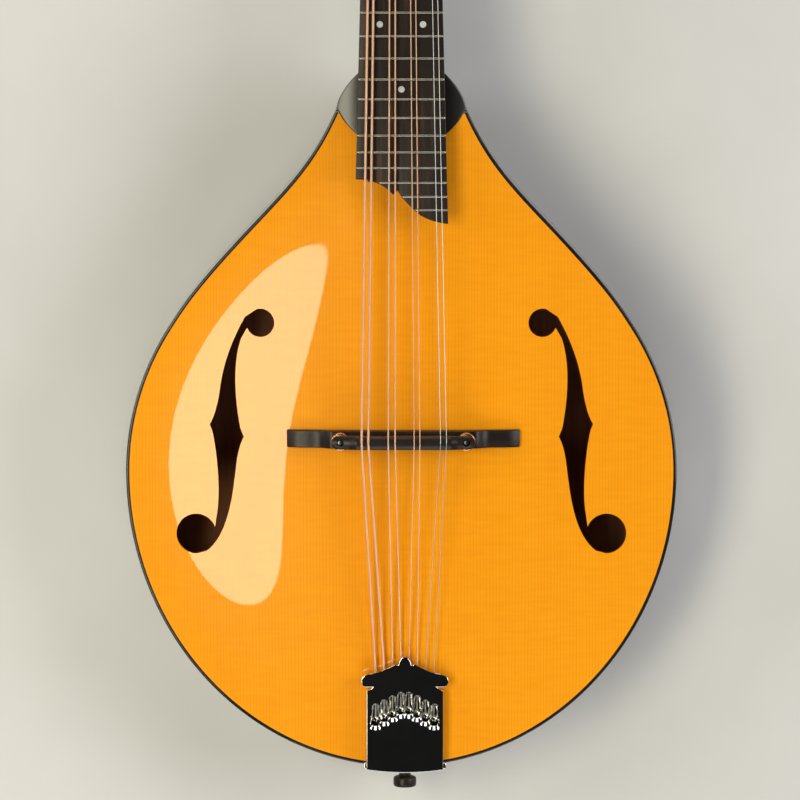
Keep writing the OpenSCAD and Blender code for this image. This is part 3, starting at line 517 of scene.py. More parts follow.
def ebony(name, along, gloss):
    """Dark close-grained wood with brown streaks and fine pores along one axis."""
    paint = Paint(name, gloss)
    def stretched(across, lengthwise):
        return tuple(lengthwise if on else across for on in along)
    streak = paint.noise(stretched(260, 9), 3, 0.6)
    where = paint.noise(stretched(60, 14), 2)
    pores = paint.noise(stretched(2600, 140), 2)
    paint.shader.inputs["Specular IOR Level"].default_value = 0.28
    plain = (0.012, 0.0078, 0.0062)
    colour = paint.ramp(streak, (0.46, plain), (0.58, (0.026, 0.0145, 0.0105)),
                        (0.68, (0.066, 0.030, 0.019)))
    paint.bump(pores, 0.00003, 0.35)
    return paint.finish(paint.mix(paint.scaled(where, -0.7, 1.8), plain, colour),
                        pores, gloss - 0.08, gloss + 0.12)


def metal(name, light, dark, rough, scale, marks_scale=1800):
    """Metal with smudges that change its gloss, and either a polish or a brushed grain."""
    paint = Paint(name, metallic=1)
    smudge = paint.noise(scale, 5, 0.62)
    marks = paint.noise(marks_scale, 2)
    paint.bump(marks, 0.00001, 0.3)
    colour = paint.ramp(smudge, (0.3, dark), (0.62, light))
    return paint.finish(colour, paint.mix(0.35, smudge, marks), *rough)


def wound_string(name, light, dark, pitch):
    """Fine round winding, turn beside turn, along Y, with painted shade in the grooves between turns."""
    paint = Paint(name, 0.3, metallic=1)
    # At scale 1 a wave texture's phase moves on by 20 radians for each unit of length
    turns = paint.node("TexWave", Scale=2 * pi / pitch / 20, Vector=paint.coordinates())
    turns.bands_direction = "Y"
    tarnish = paint.noise((300, 30, 300), 4)
    colour = paint.mix(paint.scaled(tarnish, 0, 0.7), light, dark)
    # Painted shade: the colour darkens towards a darker copy of the wire in the grooves between turns
    furrow_shade = paint.scaled(turns.outputs["Fac"], 0.3, 0)
    paint.bump(turns.outputs["Fac"], 0.00006, 0.8)
    return paint.finish(paint.mix(furrow_shade, colour, tuple(0.45 * c for c in dark)), tarnish, 0.36, 0.52)


def pearl(name, light, dark, rough=0.16, size=420):
    """Swirled pearl: clouds of brighter and darker shell under a gloss."""
    paint = Paint(name, rough, coat=0.6, coat_roughness=0.05)
    cloud = paint.noise(size, 4, 0.6)
    twist = paint.node("TexVoronoi", Scale=size * 0.8, Vector=paint.coordinates())
    colour = paint.ramp(cloud, (0.32, dark), (0.66, light))
    flecked = paint.mix(paint.scaled(twist.outputs["Distance"], 0, 0.35), colour, light)
    return paint.finish(flecked, cloud, rough, rough + 0.16)


M = {
    "spruce_top": spruce_top(),
    "black_lacquered_maple": black_lacquer("black_lacquer", 1.0, 0.04),
    "rubbed_lacquer": black_lacquer("rubbed_lacquer", 0.45, 0.22),
    "black_binding": clouded("black_binding", 0.16, 60, 3, (0.018, 0.016, 0.015),
                             (0.008, 0.007, 0.007), 0.10, 0.22),
    "raw_maple": raw_wood("raw_maple", (0.42, 0.17, 0.07), (0.27, 0.10, 0.04), (220, 10, 220)),
    "mahogany": raw_wood("mahogany", (0.36, 0.15, 0.07), (0.24, 0.09, 0.04)),
    "willow_lining": raw_wood("willow_lining", (0.66, 0.47, 0.28), (0.52, 0.34, 0.18)),
    "spruce_brace": raw_wood("spruce_brace", (0.78, 0.60, 0.36), (0.66, 0.46, 0.24)),
    "ebony_y": ebony("ebony_along_neck", (0, 1, 0), 0.34),
    "ebony_x": ebony("ebony_across", (1, 0, 0), 0.32),
    "nickel": metal("nickel", (0.80, 0.785, 0.76), (0.72, 0.705, 0.68), (0.035, 0.10), 70),
    "steel": metal("steel", (0.58, 0.58, 0.59), (0.46, 0.46, 0.47), (0.18, 0.34), 200,
                   (3000, 200, 3000)),
    # Painted shade: a darkened copy of the steel, so that the bridge posts look as dark as they do sunk
    # in the saddle's holes
    "shade_darkened_steel": metal("shade_darkened_steel", (0.13, 0.125, 0.12), (0.07, 0.067, 0.065), (0.22, 0.38), 300),
    "fret_wire": metal("fret_wire", (0.36, 0.33, 0.27), (0.26, 0.24, 0.19), (0.16, 0.30), 300,
                       (200, 4000, 4000)),
    "brass": metal("brass", (0.76, 0.52, 0.22), (0.62, 0.40, 0.15), (0.18, 0.36), 300),
    "copper_brass": metal("copper_brass", (0.80, 0.42, 0.22), (0.62, 0.28, 0.13), (0.16, 0.34), 260),
    "bronze_wound": wound_string("bronze_wound", (0.95, 0.62, 0.40), (0.78, 0.42, 0.24), 0.00024),
    "plain_steel": metal("plain_steel", (0.58, 0.60, 0.58), (0.46, 0.48, 0.46), (0.42, 0.56), 200),
    "pearl": pearl("pearl", (0.66, 0.68, 0.66), (0.36, 0.38, 0.38)),
    "knob_pearloid": pearl("knob_pearloid", (0.88, 0.84, 0.72), (0.66, 0.60, 0.46), 0.14, 260),
    "bone": clouded("bone", 0.3, (120, 400, 120), 4, (0.84, 0.78, 0.62), (0.70, 0.62, 0.44), 0.24, 0.40),
}


# ---- soundboard and back

UPPER_EYE, UPPER_EYE_R = (72.2, 56.4), 7.2
LOWER_EYE, LOWER_EYE_R = (105.2, -52.3), 10.3
F_HOLE = (
    arc(UPPER_EYE, UPPER_EYE_R, -21, -286, 44)
    + bezier((78, 62.8), (89.5, 44), (91.6, 30), (92.5, 25.6), 16)[1:]
    + bezier((93.1, 21), (94.3, 14), (95.6, 8.5), (98.2, 4.3), 8)
    + bezier((96.9, 1), (94.6, -9), (92.4, -30), (94.7, -42.4), 16)
    + arc(LOWER_EYE, LOWER_EYE_R, 159, -90, 50)
    + bezier((100, -61.2), (89, -53), (86.6, -33), (84.8, -18.4), 20)
    + bezier((84.3, -14.5), (83.6, -9.5), (82.4, -5), (80.6, -1.9), 8)
    + bezier((82.4, 2.5), (85.4, 18), (86.4, 36), (82, 48.5), 16)
)
COLLAR_Y, COLLAR_R = 180.6, 36
PLATE_RINGS = 54
GLUED_FROM = 0.955  # from this contour outwards the plate's inner face is flat
ARCH_SHARP = 30


def plate_thickness(q):
    return 5 - 2 * min(1, q / RECURVE_AT)


def arched_plate(crown):
    """A carved plate: its arched outer face, its hollow inner face and its edge."""
    edge = inset(EDGE, BINDING_T + GAP)
    n = len(edge)
    outer, inner = [], []
    for q in [0.012] + [0.965 * (k / PLATE_RINGS) for k in range(1, PLATE_RINGS + 1)]:
        z = float(arch(q, crown))
        under = 0 if q >= GLUED_FROM else max(0, z - plate_thickness(q))
        ways = [np.array(p) - ARCH_MID for p in edge]
        ring = [ARCH_MID + contour(q, atan2(d[1], abs(d[0]))) * d / np.linalg.norm(d) for d in ways]
        outer.append(level(ring, z))
        inner.append(level(ring, under))
    outer.append(level(edge, EDGE_T))
    inner.append(level(edge, 0))
    points = [p for ring in outer + inner[::-1] for p in ring]
    faces = ring_faces(2 * len(outer), n, caps=False)
    start, last = len(points), len(points) - n
    points += [(0, BODY_MID_Y, crown), (0, BODY_MID_Y, crown - plate_thickness(0))]
    faces += [(start, (i + 1) % n, i) for i in range(n)]
    faces += [(start + 1, last + i, last + (i + 1) % n) for i in range(n)]
    return points, faces


def smooth_arch(obj, crown, place):
    """Gives the outer face of a carved plate the normals of its true curved surface."""
    mesh = obj.data
    back = place.inverted()
    turn = np.array(place.to_3x3().normalized())
    world = np.zeros(len(mesh.vertices) * 3)
    mesh.vertices.foreach_get("co", world)
    local = world.reshape(-1, 3) @ np.array(back.to_3x3()).T + np.array(back.translation)
    q = contour_of(local[:, 0], local[:, 1])
    on_face = (np.abs(local[:, 2] - arch(q, crown)) < 0.06) & (q < 0.96)
    true = arch_normals(local[:, 0], local[:, 1], crown) @ turn.T
    upward = turn[:, 2]
    normals = [(0, 0, 0)] * len(mesh.loops)
    for face in mesh.polygons:
        if np.dot(face.normal, upward) < 0.7 or not all(on_face[v] for v in face.vertices):
            continue
        for loop in face.loop_indices:
            normals[loop] = tuple(true[mesh.loops[loop].vertex_index])
    mesh.normals_split_custom_set(normals)


def make_soundboard():
    top = piece("soundboard_carved", arched_plate(TOP_ARCH), BODY, "spruce_top", "soundboard",
                sharp=ARCH_SHARP)
    holes = [[(side * x, y) for x, y in F_HOLE] for side in (1, -1)]
    holes.append(arc((0, COLLAR_Y), COLLAR_R + GAP, -170, 190, 120)[:-1])
    for outline in holes:
        cut(top, prism(outline, -5, 25), BODY, ARCH_SHARP)
    smooth_arch(top, TOP_ARCH, BODY)


def make_back():
    back = piece("back_carved", arched_plate(BACK_ARCH), BACK, "black_lacquered_maple", "back_plate",
                 sharp=ARCH_SHARP)
    inward = (BACK.to_3x3() @ Vector((0, 0, -1))).normalized()
    back.data.materials.append(M["raw_maple"])
    for face in back.data.polygons:
        if face.normal.dot(inward) > 0.7:
            face.material_index = 1


# ---- sides and binding

def open_edge():
    """The body's edge from the heel on the -X side, round the tail, to the heel on the +X side."""
    half = [p for p in HALF_EDGE if p[1] < HEEL_FACE_Y]
    (x0, y0), (x1, y1) = half[-1], HALF_EDGE[len(half)]
    half.append((x0 + (x1 - x0) * (HEEL_FACE_Y - y0) / (y1 - y0), HEEL_FACE_Y))
    return other_side(half) + half


def wall(path, section):
    """A wall along an open path. Each point of its section is a distance inwards and a height."""
    sides = [(inset(path, d, closed=False), z) for d, z in section]
    return skin([[(line[i][0], line[i][1], z) for line, z in sides] for i in range(len(path))])


def make_sides():
    section = [(0, -RIB_H), (0, 0), (RIB_T, 0), (RIB_T, -RIB_H)]
    path = open_edge()
    middle = len(path) // 2
    for name, part, side in (("rib_bass", path[:middle + 1], -1), ("rib_treble", path[middle:], 1)):
        # Each rib turns in across the head block, behind the heel
        x0, x1 = sorted((side * 9, side * (HEEL_HALF_W - GAP)))
        turned_in = block((x0, HEEL_FACE_Y + 0.01, -RIB_H - EDGE_T + 0.1), (x1, HEEL_Y, 1.4))
        piece(name + "_bent", joined(wall(part, section), turned_in), BODY,
              "black_lacquered_maple", name)


def make_binding():
    """A strip whose outer corner is rounded, round the top and the back."""
    r = 0.9
    corner = [(r - r * cos(a), EDGE_T - r + r * sin(a)) for a in np.linspace(0, pi / 2, 7)]
    section = [(0, 0.03)] + corner + [(BINDING_T, EDGE_T), (BINDING_T, 0.03)]
    for name, place in (("top_binding", BODY), ("back_binding", BACK)):
        piece(name + "_strip", wall(open_edge(), section), place, "black_binding", name, sharp=50)


# ---- neck

HEEL_START_Y = 214
HEEL_HALF_W = 33.5
HEEL_LOW_Z = -RIB_H - EDGE_T
CAP_LOW_Z = 1.5
CHEEK_Z = 6.5
CAP_RIM_R = 0.6
CAP_SHARES = (0.96, 0.92, 0.88, 0.84, 0.8, 0.75, 0.7, 0.65, 0.6, 0.4, 0.2)
LEAN_FROM_Y = 395


def board_half_w(y):
    return NUT_HALF_W + BOARD_TAPER * (NUT_Y - y)


def fret_y(n):
    return NUT_Y - SCALE_LEN * (1 - 2 ** (-n / 12))


def neck_wood(y):
    swell = 10 * ((HEEL_START_Y - y) / 50) ** 2 if y < HEEL_START_Y else 0
    return NECK_DEPTH + 4.5 * (HEAD_Y - y) / (HEAD_Y - HEEL_START_Y) + swell


def neck_section(y):
    """The neck's rounded section, which leans towards the headstock's angle near the nut."""
    lean = radians(15 * max(0, y - LEAN_FROM_Y) / (HEAD_Y - LEAN_FROM_Y))
    half = board_half_w(min(y, NUT_Y))
    ring = []
    for i in range(49):
        a = pi * i / 48
        z = -neck_wood(y) * sin(a) ** 0.85
        ring.append((half * copysign(abs(cos(a)) ** 0.75, cos(a)), y + z * tan(lean), -BOARD_T + z))
    return ring


def heel_section(z):
    """The heel's plan at a height: from the flat face of the sides round its rounded front."""
    u = min(1, max(0, (CHEEK_Z - z) / (CHEEK_Z - HEEL_LOW_Z)))
    half, depth = HEEL_HALF_W - 0.15 - 20 * u ** 1.3, 36 - 25 * u ** 0.8
    ring = []
    for i in range(-24, 25):
        v = 1 - abs(i) / 24
        ring.append((copysign(half * (1 - v ** 1.8), i), HEEL_FACE_Y + v * depth))
    return ring


def sloped(x, z):
    """Height of a point of the cap over the heel, whose cheeks slope away from the fretboard."""
    return z - 0.0115 * max(0, abs(x) - 20) ** 2 * (z - CAP_LOW_Z) / (CHEEK_Z - CAP_LOW_Z)


def heel_cap():
    """The collar over the soundboard and the two cheeks beside the fretboard, with a rounded rim."""
    half_chord = sqrt(COLLAR_R ** 2 - (COLLAR_Y - HEEL_FACE_Y) ** 2)
    chord_angle = degrees(atan2(HEEL_FACE_Y - COLLAR_Y, half_chord))
    tongue = arc((0, COLLAR_Y), COLLAR_R - GAP, -180 - chord_angle, chord_angle, 60)
    outline = tongue + heel_section(CHEEK_Z)[::-1][1:-1]
    r, rim_z = CAP_RIM_R, CHEEK_Z - CAP_RIM_R
    rim = [(0, CAP_LOW_Z), (0, rim_z)] + [(r - r * cos(a), rim_z + r * sin(a))
                                          for a in np.linspace(0.15, pi / 2, 9)]
    levels = [level(inset(outline, d), z) for d, z in rim]
    middle = np.array([0, 172])
    face = [np.array(p[:2]) - middle for p in levels[-1]]
    levels += [level([middle + share * p for p in face], CHEEK_Z) for share in CAP_SHARES]
    return skin([[(x, y, sloped(x, z)) for x, y, z in points] for points in levels])


def board_foot(y):
    return between(BOARD, BODY, (0, y, -BOARD_T)).z - 0.1


def make_neck():
    stations = [170 + 2 * k for k in range(23)] + [220 + 10 * k for k in range(17)]
    shaft = skin([neck_section(y) for y in stations + [386, 392, 397, 401, 405, HEAD_Y - GAP]])
    heel = skin([level(heel_section(z), z) for z in np.linspace(HEEL_LOW_Z + 0.2, CAP_LOW_Z, 34)])
    foot = [(168, 3), (168, board_foot(168)), (129, board_foot(129)), (133, 9), (145, 8.5), (158, 5)]
    support = skin([[(x, y, z) for y, z in foot] for x in (-17, 17)])
    piece("neck_carved", joined(placed(shaft, BODY.inverted() @ BOARD), heel, heel_cap(), support),
          BODY, "rubbed_lacquer", "neck", sharp=42)


BOARD_END = (
    [(-board_half_w(131.2), 131.2)]
    + bezier((-18, 131), (-13, 130), (-7.5, 127.5), (-4.3, 123.4), 20)
    + bezier((-1.9, 125.6), (0.5, 121), (4, 118), (6.8, 115.4), 16)
    + bezier((9.5, 113), (13.5, 110.7), (17.5, 109.3), (board_half_w(108.5), 108.5), 16)
)
DOT_FRETS = [3, 5, 7, 10, 15]
SHORT_FRETS = {20: -11.4, 21: 0.4, 22: 6.9}
FRET_HALF_W, FRET_H, FRET_ROUND = 0.72, 0.95, 1.1


def between_frets(n):
    return (fret_y(n - 1) + fret_y(n)) / 2


def make_fretboard():
    outline = [(board_half_w(NUT_Y), NUT_Y), (-NUT_HALF_W, NUT_Y)] + BOARD_END
    board = piece("fretboard_ebony", prism(outline, -BOARD_T, 0), BOARD, "ebony_y", "fretboard",
                  bevel=0.35)
    dots = [(0, between_frets(n)) for n in DOT_FRETS] + [(x, between_frets(12)) for x in (-11, 11)]
    cut(board, round_holes(dots, 1.66, -1.01, 3), BOARD)
    side_dots = [between_frets(n) for n in DOT_FRETS] + [between_frets(12) + d for d in (-2.5, 2.5)]
    bore = lathe([(0, -2), (0.96, -2), (0.96, 2), (0, 2)], 32)
    places = [moved(-board_half_w(y), y, -2.6) @ turned(90, "Y") for y in side_dots]
    cut(board, copies(bore, places), BOARD)


def fret(n):
    """One fret: a rounded crown whose ends are filed round."""
    left = SHORT_FRETS.get(n, -board_half_w(fret_y(n)) + 0.1)
    right = board_half_w(fret_y(n)) - 0.1
    rings = []
    ends = [0, 0.06, 0.2, 0.42, 0.72, FRET_ROUND]
    for x in [left + e for e in ends] + [right - e for e in ends[::-1]]:
        u = min(1, (min(x - left, right - x) + 0.02) / FRET_ROUND)
        rise = sqrt(1 - (1 - u) ** 2)
        rings.append([(x, fret_y(n) + FRET_HALF_W * cos(a), FRET_H * rise * sin(a))
                      for a in np.linspace(0, pi, 13)])
    return skin(rings)


def make_frets():
    frets = [fret(n) for n in range(1, FRETS + 1)]
    piece("fret_wires", joined(*frets), BOARD, "fret_wire", "frets", sharp=60)


# ---- headstock

HEAD_SIDE = (
    [(17, 0)]
    + bezier((17.5, 3), (19, 14), (35, 12), (35.5, 30), 24)
    + bezier((33.2, 118), (32.8, 136), (30, 140), (27, 146), 14)
    + bezier((24.5, 151), (23, 154.5), (21, HEAD_LEN), (18.5, HEAD_LEN), 10)[1:]
    + bezier((12, HEAD_LEN), (9, 150.5), (4, 149.5), (0, 149.5), 12)
)
HEAD_OUTLINE = both_sides([(0, 0)] + HEAD_SIDE)
COVER_HALF = (
    [(0, 3), (9.5, 3)]
    + bezier((9.6, 7), (9, 14), (5.5, 17), (4, 23), 16)
    + bezier((3.4, 26), (2.8, 29.5), (1.5, 31), (0, 31), 10)
)
COVER_T = 1.6
COVER_SCREWS = [(-7.2, 5.6), (7.2, 5.6), (0, 27.5)]
NUMBERS = range(1, 9)


def bass(i):
    """Whether string i and its tuner belong to the bass half."""
    return i <= 4


def from_edge(i):
    """0 for the outermost string of its half and for the post next to the nut, up to 3."""
    return i - 1 if bass(i) else 8 - i


def post_place(i):
    return (-POST_X if bass(i) else POST_X, FIRST_POST_Y + POST_PITCH * from_edge(i))


def make_headstock():
    wood = piece("headstock_wood", prism(HEAD_OUTLINE, -HEAD_T, 0), HEAD, "black_lacquered_maple",
                 "headstock", bevel=1.2, steps=4)
    face = [p for p in HEAD_OUTLINE if p[1] > 0.8]
    overlay = piece("headstock_face", prism(face, GAP, OVERLAY_T - GAP), HEAD, "ebony_y",
                    "headstock_overlay", bevel=0.4)
    for part in (wood, overlay):
        cut(part, round_holes([post_place(i) for i in NUMBERS], 4.05, -30, 30), HEAD)
        cut(part, block((-4.8, -1, -9), (4.8, 23, 20)), HEAD)


def slotted_heads(name, node, places, r, z, place, up=1):
    """Round-headed screws whose slots all point different ways."""
    head_h = 0.8 * r
    dome = [(2 * r * cos(a), head_h * (0.3 + 0.7 * sin(a))) for a in np.linspace(0, 1.5, 8)]
    screw = lathe([(r, -1.0), (r, 0), (2 * r, 0)] + dome, 32)
    slot = block((-3 * r, -0.22 * r, 0.45 * head_h), (3 * r, 0.22 * r, 2 * r))
    spots = [moved(x, y, z) @ Matrix.Diagonal((1, 1, up, 1)) @ Matrix.Rotation(0.5 + 1.1 * k, 4, "Z")
             for k, (x, y) in enumerate(places)]
    made = piece(name, copies(screw, spots), place, "steel", node)
    cut(made, copies(slot, spots), place)


def make_rod_cover():
    low = OVERLAY_T + GAP
    piece("rod_cover_bell", prism(both_sides(COVER_HALF), low, low + COVER_T), HEAD,
          "black_lacquered_maple", "truss_rod_cover", slot="ebony", bevel=0.5)
    slotted_heads("rod_cover_screws", "truss_cover_screws", COVER_SCREWS, 0.75,
                  OVERLAY_T + COVER_T + 0.1, HEAD)


# ---- bridge

BASE_TOP = [(0, 24), (36.5, 24), (37.5, 23.9), (38.6, 23.2), (39.8, 21.6), (41, 20.4), (42.4, 19.6),
            (45, 19.0), (49.5, 18.6), (54, 17.9), (57, 16.9), (59.5, 15.5)]
SADDLE_TOP = [(0, STRING_Z + 0.25), (24, STRING_Z + 0.25), (27.6, STRING_Z - 1.0),
              (31, STRING_Z - 1.7), (SADDLE_HALF, STRING_Z - 2.4)]
SADDLE_END_R = 3.3
BRIDGE_POSTS = [(BRIDGE_X - POST_GAP / 2, SADDLE_Y), (BRIDGE_X + POST_GAP / 2, SADDLE_Y)]
BRIDGE_THREAD = 0.635
STRING_R = [0.66, 0.43, 0.30, 0.18]
STRING_SADDLE_X = [-21.2, -17.8, -7.7, -4.2, 5.5, 8.4, 18.9, 21.9]


def base_top(x):
    """Height of the bridge base's upper edge: raised in the middle, with long smoothly sloped wings."""
    return float(np.mean([np.interp(abs(x) + d, *zip(*BASE_TOP)) for d in np.linspace(-1.4, 1.4, 15)]))


def make_bridge_base():
    half, r = BRIDGE_W / 2, 0.55
    corner = [(half - r + r * sin(a), -r + r * cos(a)) for a in np.linspace(0, pi / 2, 5)]
    rings = []
    for along in np.linspace(-BRIDGE_HALF, BRIDGE_HALF, 240):
        x = BRIDGE_X + along
        trim = max(0, abs(along) - BRIDGE_HALF + 0.5)
        top = base_top(along) - trim * 0.6
        upper = [(y - trim * 0.5, top + dz) for y, dz in corner]
        under = np.linspace(half - trim * 0.5, -half + trim * 0.5, 6)
        rings.append([(x, BASE_Y + y, z) for y, z in upper]
                     + [(x, BASE_Y + y, top_z(x, BASE_Y + y) + GAP) for y in under]
                     + [(x, BASE_Y - y, z) for y, z in upper[::-1]])
    base = piece("bridge_base_ebony", skin(rings), BODY, "ebony_x", "bridge_base", sharp=40)
    cut(base, round_holes(BRIDGE_POSTS, 1.58, 17, 40), BODY, 40)


def radius(i):
    return STRING_R[(i - 1) // 2]


def saddle_crest(x):
    """Height of the saddle's crest, with a small notch under each string."""
    z = float(np.interp(abs(x), *zip(*SADDLE_TOP)))
    for i, at in enumerate(STRING_SADDLE_X):
        r = radius(i + 1)
        if abs(x - at) < r:
            z = min(z, STRING_Z + r - sqrt(r * r - (x - at) ** 2) - 0.02)
    return z


def make_saddle():
    r = SADDLE_END_R
    stations = set(np.round(np.linspace(-SADDLE_HALF, SADDLE_HALF, 150), 3))
    stations |= {round(at + f * radius(i + 1), 3) for i, at in enumerate(STRING_SADDLE_X)
                 for f in (-1.02, -0.98, -0.7, -0.35, 0, 0.35, 0.7, 0.98, 1.02)}
    stations |= {round(s * (SADDLE_HALF - d), 3) for s in (-1, 1) for d in (0.005, 0.05, 0.15, 0.3, 0.6)}
    rings = []
    for x in sorted(stations):
        past = max(0, abs(x) - (SADDLE_HALF - r))
        w = sqrt(max(0.0005, r * r - past * past))
        crest = saddle_crest(x)
        rear, front = crest - 0.22 * w, crest - 0.27 * w
        flat, edge, foot = min(0.5, 0.3 * w), w - min(0.2, 0.3 * w), w - min(0.3, 0.4 * w)
        ring = [(w, SADDLE_Z + 0.3), (w, rear - 0.25), (edge, rear - 0.02), (flat, crest),
                (-flat, crest), (-edge, front - 0.02), (-w, front - 0.25), (-w, SADDLE_Z + 0.3),
                (-foot, SADDLE_Z), (foot, SADDLE_Z)]
        rings.append([(BRIDGE_X + x, SADDLE_Y + y, z) for y, z in ring])
    saddle = piece("saddle_ebony", skin(rings), BODY, "ebony_x", "bridge_saddle", body="saddle",
                   sharp=35)
    cut(saddle, round_holes(BRIDGE_POSTS, 1.75, 20, 45), BODY, 35)


def threaded(r, depth, pitch, low, high):
    """A threaded rod about z, as one helical skin."""
    rings, n = [], 32
    steps = int((high - low) / pitch * 6)
    for k in range(steps + 1):
        z = low + (high - low) * k / steps
        ring = []
        for j, a in enumerate(whole_turn(n)):
            groove = 2 if k in (0, steps) else abs(2 * ((z / pitch - j / n) % 1) - 1)
            ring.append(((r - depth * groove) * cos(a), (r - depth * groove) * sin(a), z))
        rings.append(ring)
    return skin(rings)


def knurled_wheel(r, hole, t, teeth):
    """A thumbwheel: a knurled rim with chamfered edges round a bore."""
    profile = [(hole, 0.15, 0), (hole + 0.15, 0, 0), (r - 0.45, 0, 0), (r, 0.4, 1), (r, t - 0.4, 1),
               (r - 0.45, t, 0), (hole + 0.15, t, 0), (hole, t - 0.15, 0)]
    rings = []
    for a in whole_turn(teeth * 6):
        groove = 0.22 * max(0, cos(teeth * a)) ** 2
        rings.append([((p - groove * k) * cos(a), (p - groove * k) * sin(a), z) for p, z, k in profile])
    return skin(rings, closed_loop=True)


def make_bridge_hardware():
    post = threaded(1.5, 0.14, BRIDGE_THREAD, 17.05, 33.55)
    posts = [moved(x, y, 0) for x, y in BRIDGE_POSTS]
    # The posts take the darkened steel, painted shade for their place in the saddle's holes
    piece("bridge_post_threads", copies(post, posts), BODY, "shade_darkened_steel", "bridge_posts", sharp=60)
    for (x, y), side in zip(BRIDGE_POSTS, ("bass", "treble")):
        wheel = placed(knurled_wheel(4.7, 1.56, 2.5, 34), moved(x, y, SADDLE_Z - 2.55))
        piece(f"thumbwheel_{side}_knurled", wheel, BODY, "copper_brass", f"thumbwheel_{side}",
              body=f"wheel_{side}", sharp=50)


# ---- tailpiece and end pin

LOBE, LOBE_R = (19, 45.8), 3.4
TAIL_HALF = (
    [(x, 130.7 - sqrt(133 ** 2 - x ** 2)) for x in np.linspace(0, TAIL_HALF_W, 14)]
    + [(TAIL_HALF_W, 41)]
    + bezier((TAIL_HALF_W, 41), (18.6, 41.1), (17.2, 41.6), (16.4, 42.8), 6)[1:]
    + arc(LOBE, LOBE_R, -62, 82, 22)
    + bezier((19.5, 49.5), (14, 50), (9.5, 52.2), (4.85, 54.9), 20)[1:]
    + [(4.2, 54.2), (3.4, 54.25)]
    + bezier((3.2, 54.6), (2.9, 56.6), (1.6, 58.7), (0, 58.8), 12)
)
STRING_TAIL_X = [-15.05, -10.7, -6.35, -2.1, 2.1, 6.35, 10.7, 15.05]
STRING_LIP_Y = [50.9, 52.7, 54.7, 57.2]
HOOK_Y = [25.6, 27.2, 28.6, 30.6]
DROP_TOP = [33.5, 35.6, 37.8, 39.6]
DROP_LEN = 13.2
DROP_R = (1.1, 2.05)
DROP_LEVELS = [(-0.35, -9), (-0.35, -2.6), (-0.2, -1.9), (0.0, -1.3), (0.25, -0.7), (0.55, -0.25),
               (0.85, 0.06), (0.85, 2)]
SCOOP_FROM = 7
HOOK_R = 0.8
HOOK_Z = -3.4
FLANGE_R = 131
FLANGE_LOW = -30
FLANGE_CORNER_R = 4
TAIL_SCREWS = [(-12, -8), (12, -8)]


def drop_outline(x, top, grow):
    """A drop-shaped opening: a small round upper end and a large round lower end."""
    low, high = top - DROP_LEN + DROP_R[1], top - DROP_R[0]
    lean = degrees(asin((DROP_R[1] - DROP_R[0]) / (high - low)))
    return (arc((x, low), DROP_R[1] + grow, -180 - lean, lean, 28)
            + arc((x, high), DROP_R[0] + grow, lean, 180 - lean, 16))


def drop_cutter(i):
    """The opening flares upwards, and its lower end is a scoop, so that bright walls show from above."""
    x, top = STRING_TAIL_X[i - 1], DROP_TOP[from_edge(i)]
    rings = []
    for grow, z in DROP_LEVELS:
        shear = 1.45 * min(1, -min(z, 0) / 1.9)
        rings.append([(px, py + shear * max(0, (top - SCOOP_FROM - py) / (DROP_LEN - SCOOP_FROM)), z)
                      for px, py in drop_outline(x, top, grow)])
    return skin(rings)


def flange():
    """The plate that follows the tail's curve down the sides, with rounded lower corners."""
    rings = []
    for s in np.linspace(-TAIL_HALF_W, TAIL_HALF_W, 49):
        past = max(0, abs(s) - (TAIL_HALF_W - FLANGE_CORNER_R))
        low = FLANGE_LOW + FLANGE_CORNER_R - sqrt(max(0, FLANGE_CORNER_R ** 2 - past ** 2))
        a = asin(s / (FLANGE_R + 1))
        thin = 0.3 if abs(s) > TAIL_HALF_W - 0.01 else 0
        section = ((thin, low + 0.3), (1.6, low), (2 - thin, low + 0.4), (2 - thin, TAIL_Z - 1.3),
                   (thin, TAIL_Z - 1.3))
        rings.append([(TAIL_X + (FLANGE_R + r) * sin(a),
                       TAIL_Y - 0.4 + FLANGE_R - (FLANGE_R + r) * cos(a), z) for r, z in section])
    return skin(rings)


def make_tailpiece():
    shell = piece("tailpiece_shell", prism(both_sides(TAIL_HALF), -2.4, 0), TAIL, "nickel",
                  "tailpiece", bevel=0.55, steps=7)
    for i in NUMBERS:
        cut(shell, drop_cutter(i), TAIL, 16)
    w = TAIL_HALF_W
    walls = joined(
        block((-w + GAP, -0.5, -5.9), (-w + 1.6, 40.6, -2.2)),
        block((w - 1.6, -0.5, -5.9), (w - GAP, 40.6, -2.2)),
        block((-w + 1.6, 14, -5.9), (w - 1.6, 40.6, -5.1)),
        block((-w + 1.6, 14, -5.9), (w - 1.6, 15.4, -2.2)),
    )
    piece("tailpiece_tray", walls, TAIL, "nickel", bevel=0.25)
    hook = lathe([(0, -5.2), (HOOK_R, -5.2), (HOOK_R, -2.4), (HOOK_R + 0.35, -2.1),
                  (HOOK_R + 0.35, -1.7), (HOOK_R - 0.1, -1.35), (0, -1.25)], 28)
    hooks = [moved(STRING_TAIL_X[i - 1], HOOK_Y[from_edge(i)], 0) for i in NUMBERS]
    piece("tailpiece_hooks", copies(hook, hooks), TAIL, "nickel")
    plate = piece("tailpiece_flange", flange(), BODY, "nickel")
    along_y = BODY @ moved(TAIL_X, 0, 0) @ turned(90)
    cut(plate, round_holes([(0, PIN_Z)], 4.4, 120, 220), along_y)
    cut(plate, round_holes(TAIL_SCREWS, 1.45, 120, 220), along_y)
    feet = [block((x - 1.3, TAIL_Y - 0.8, 5.4), (x + 1.3, TAIL_Y + 2.5, 8))
            for x in (TAIL_X - 19.9, TAIL_X + 19.9)]
    piece("tailpiece_feet", joined(*feet), BODY, "nickel", bevel=0.5)


def make_tail_screws():
    slotted_heads("tailpiece_screw_heads", "tailpiece_screws", TAIL_SCREWS, 1.25, 0,
                  BODY @ moved(TAIL_X, TAIL_Y - 2.4, 0) @ turned(90))


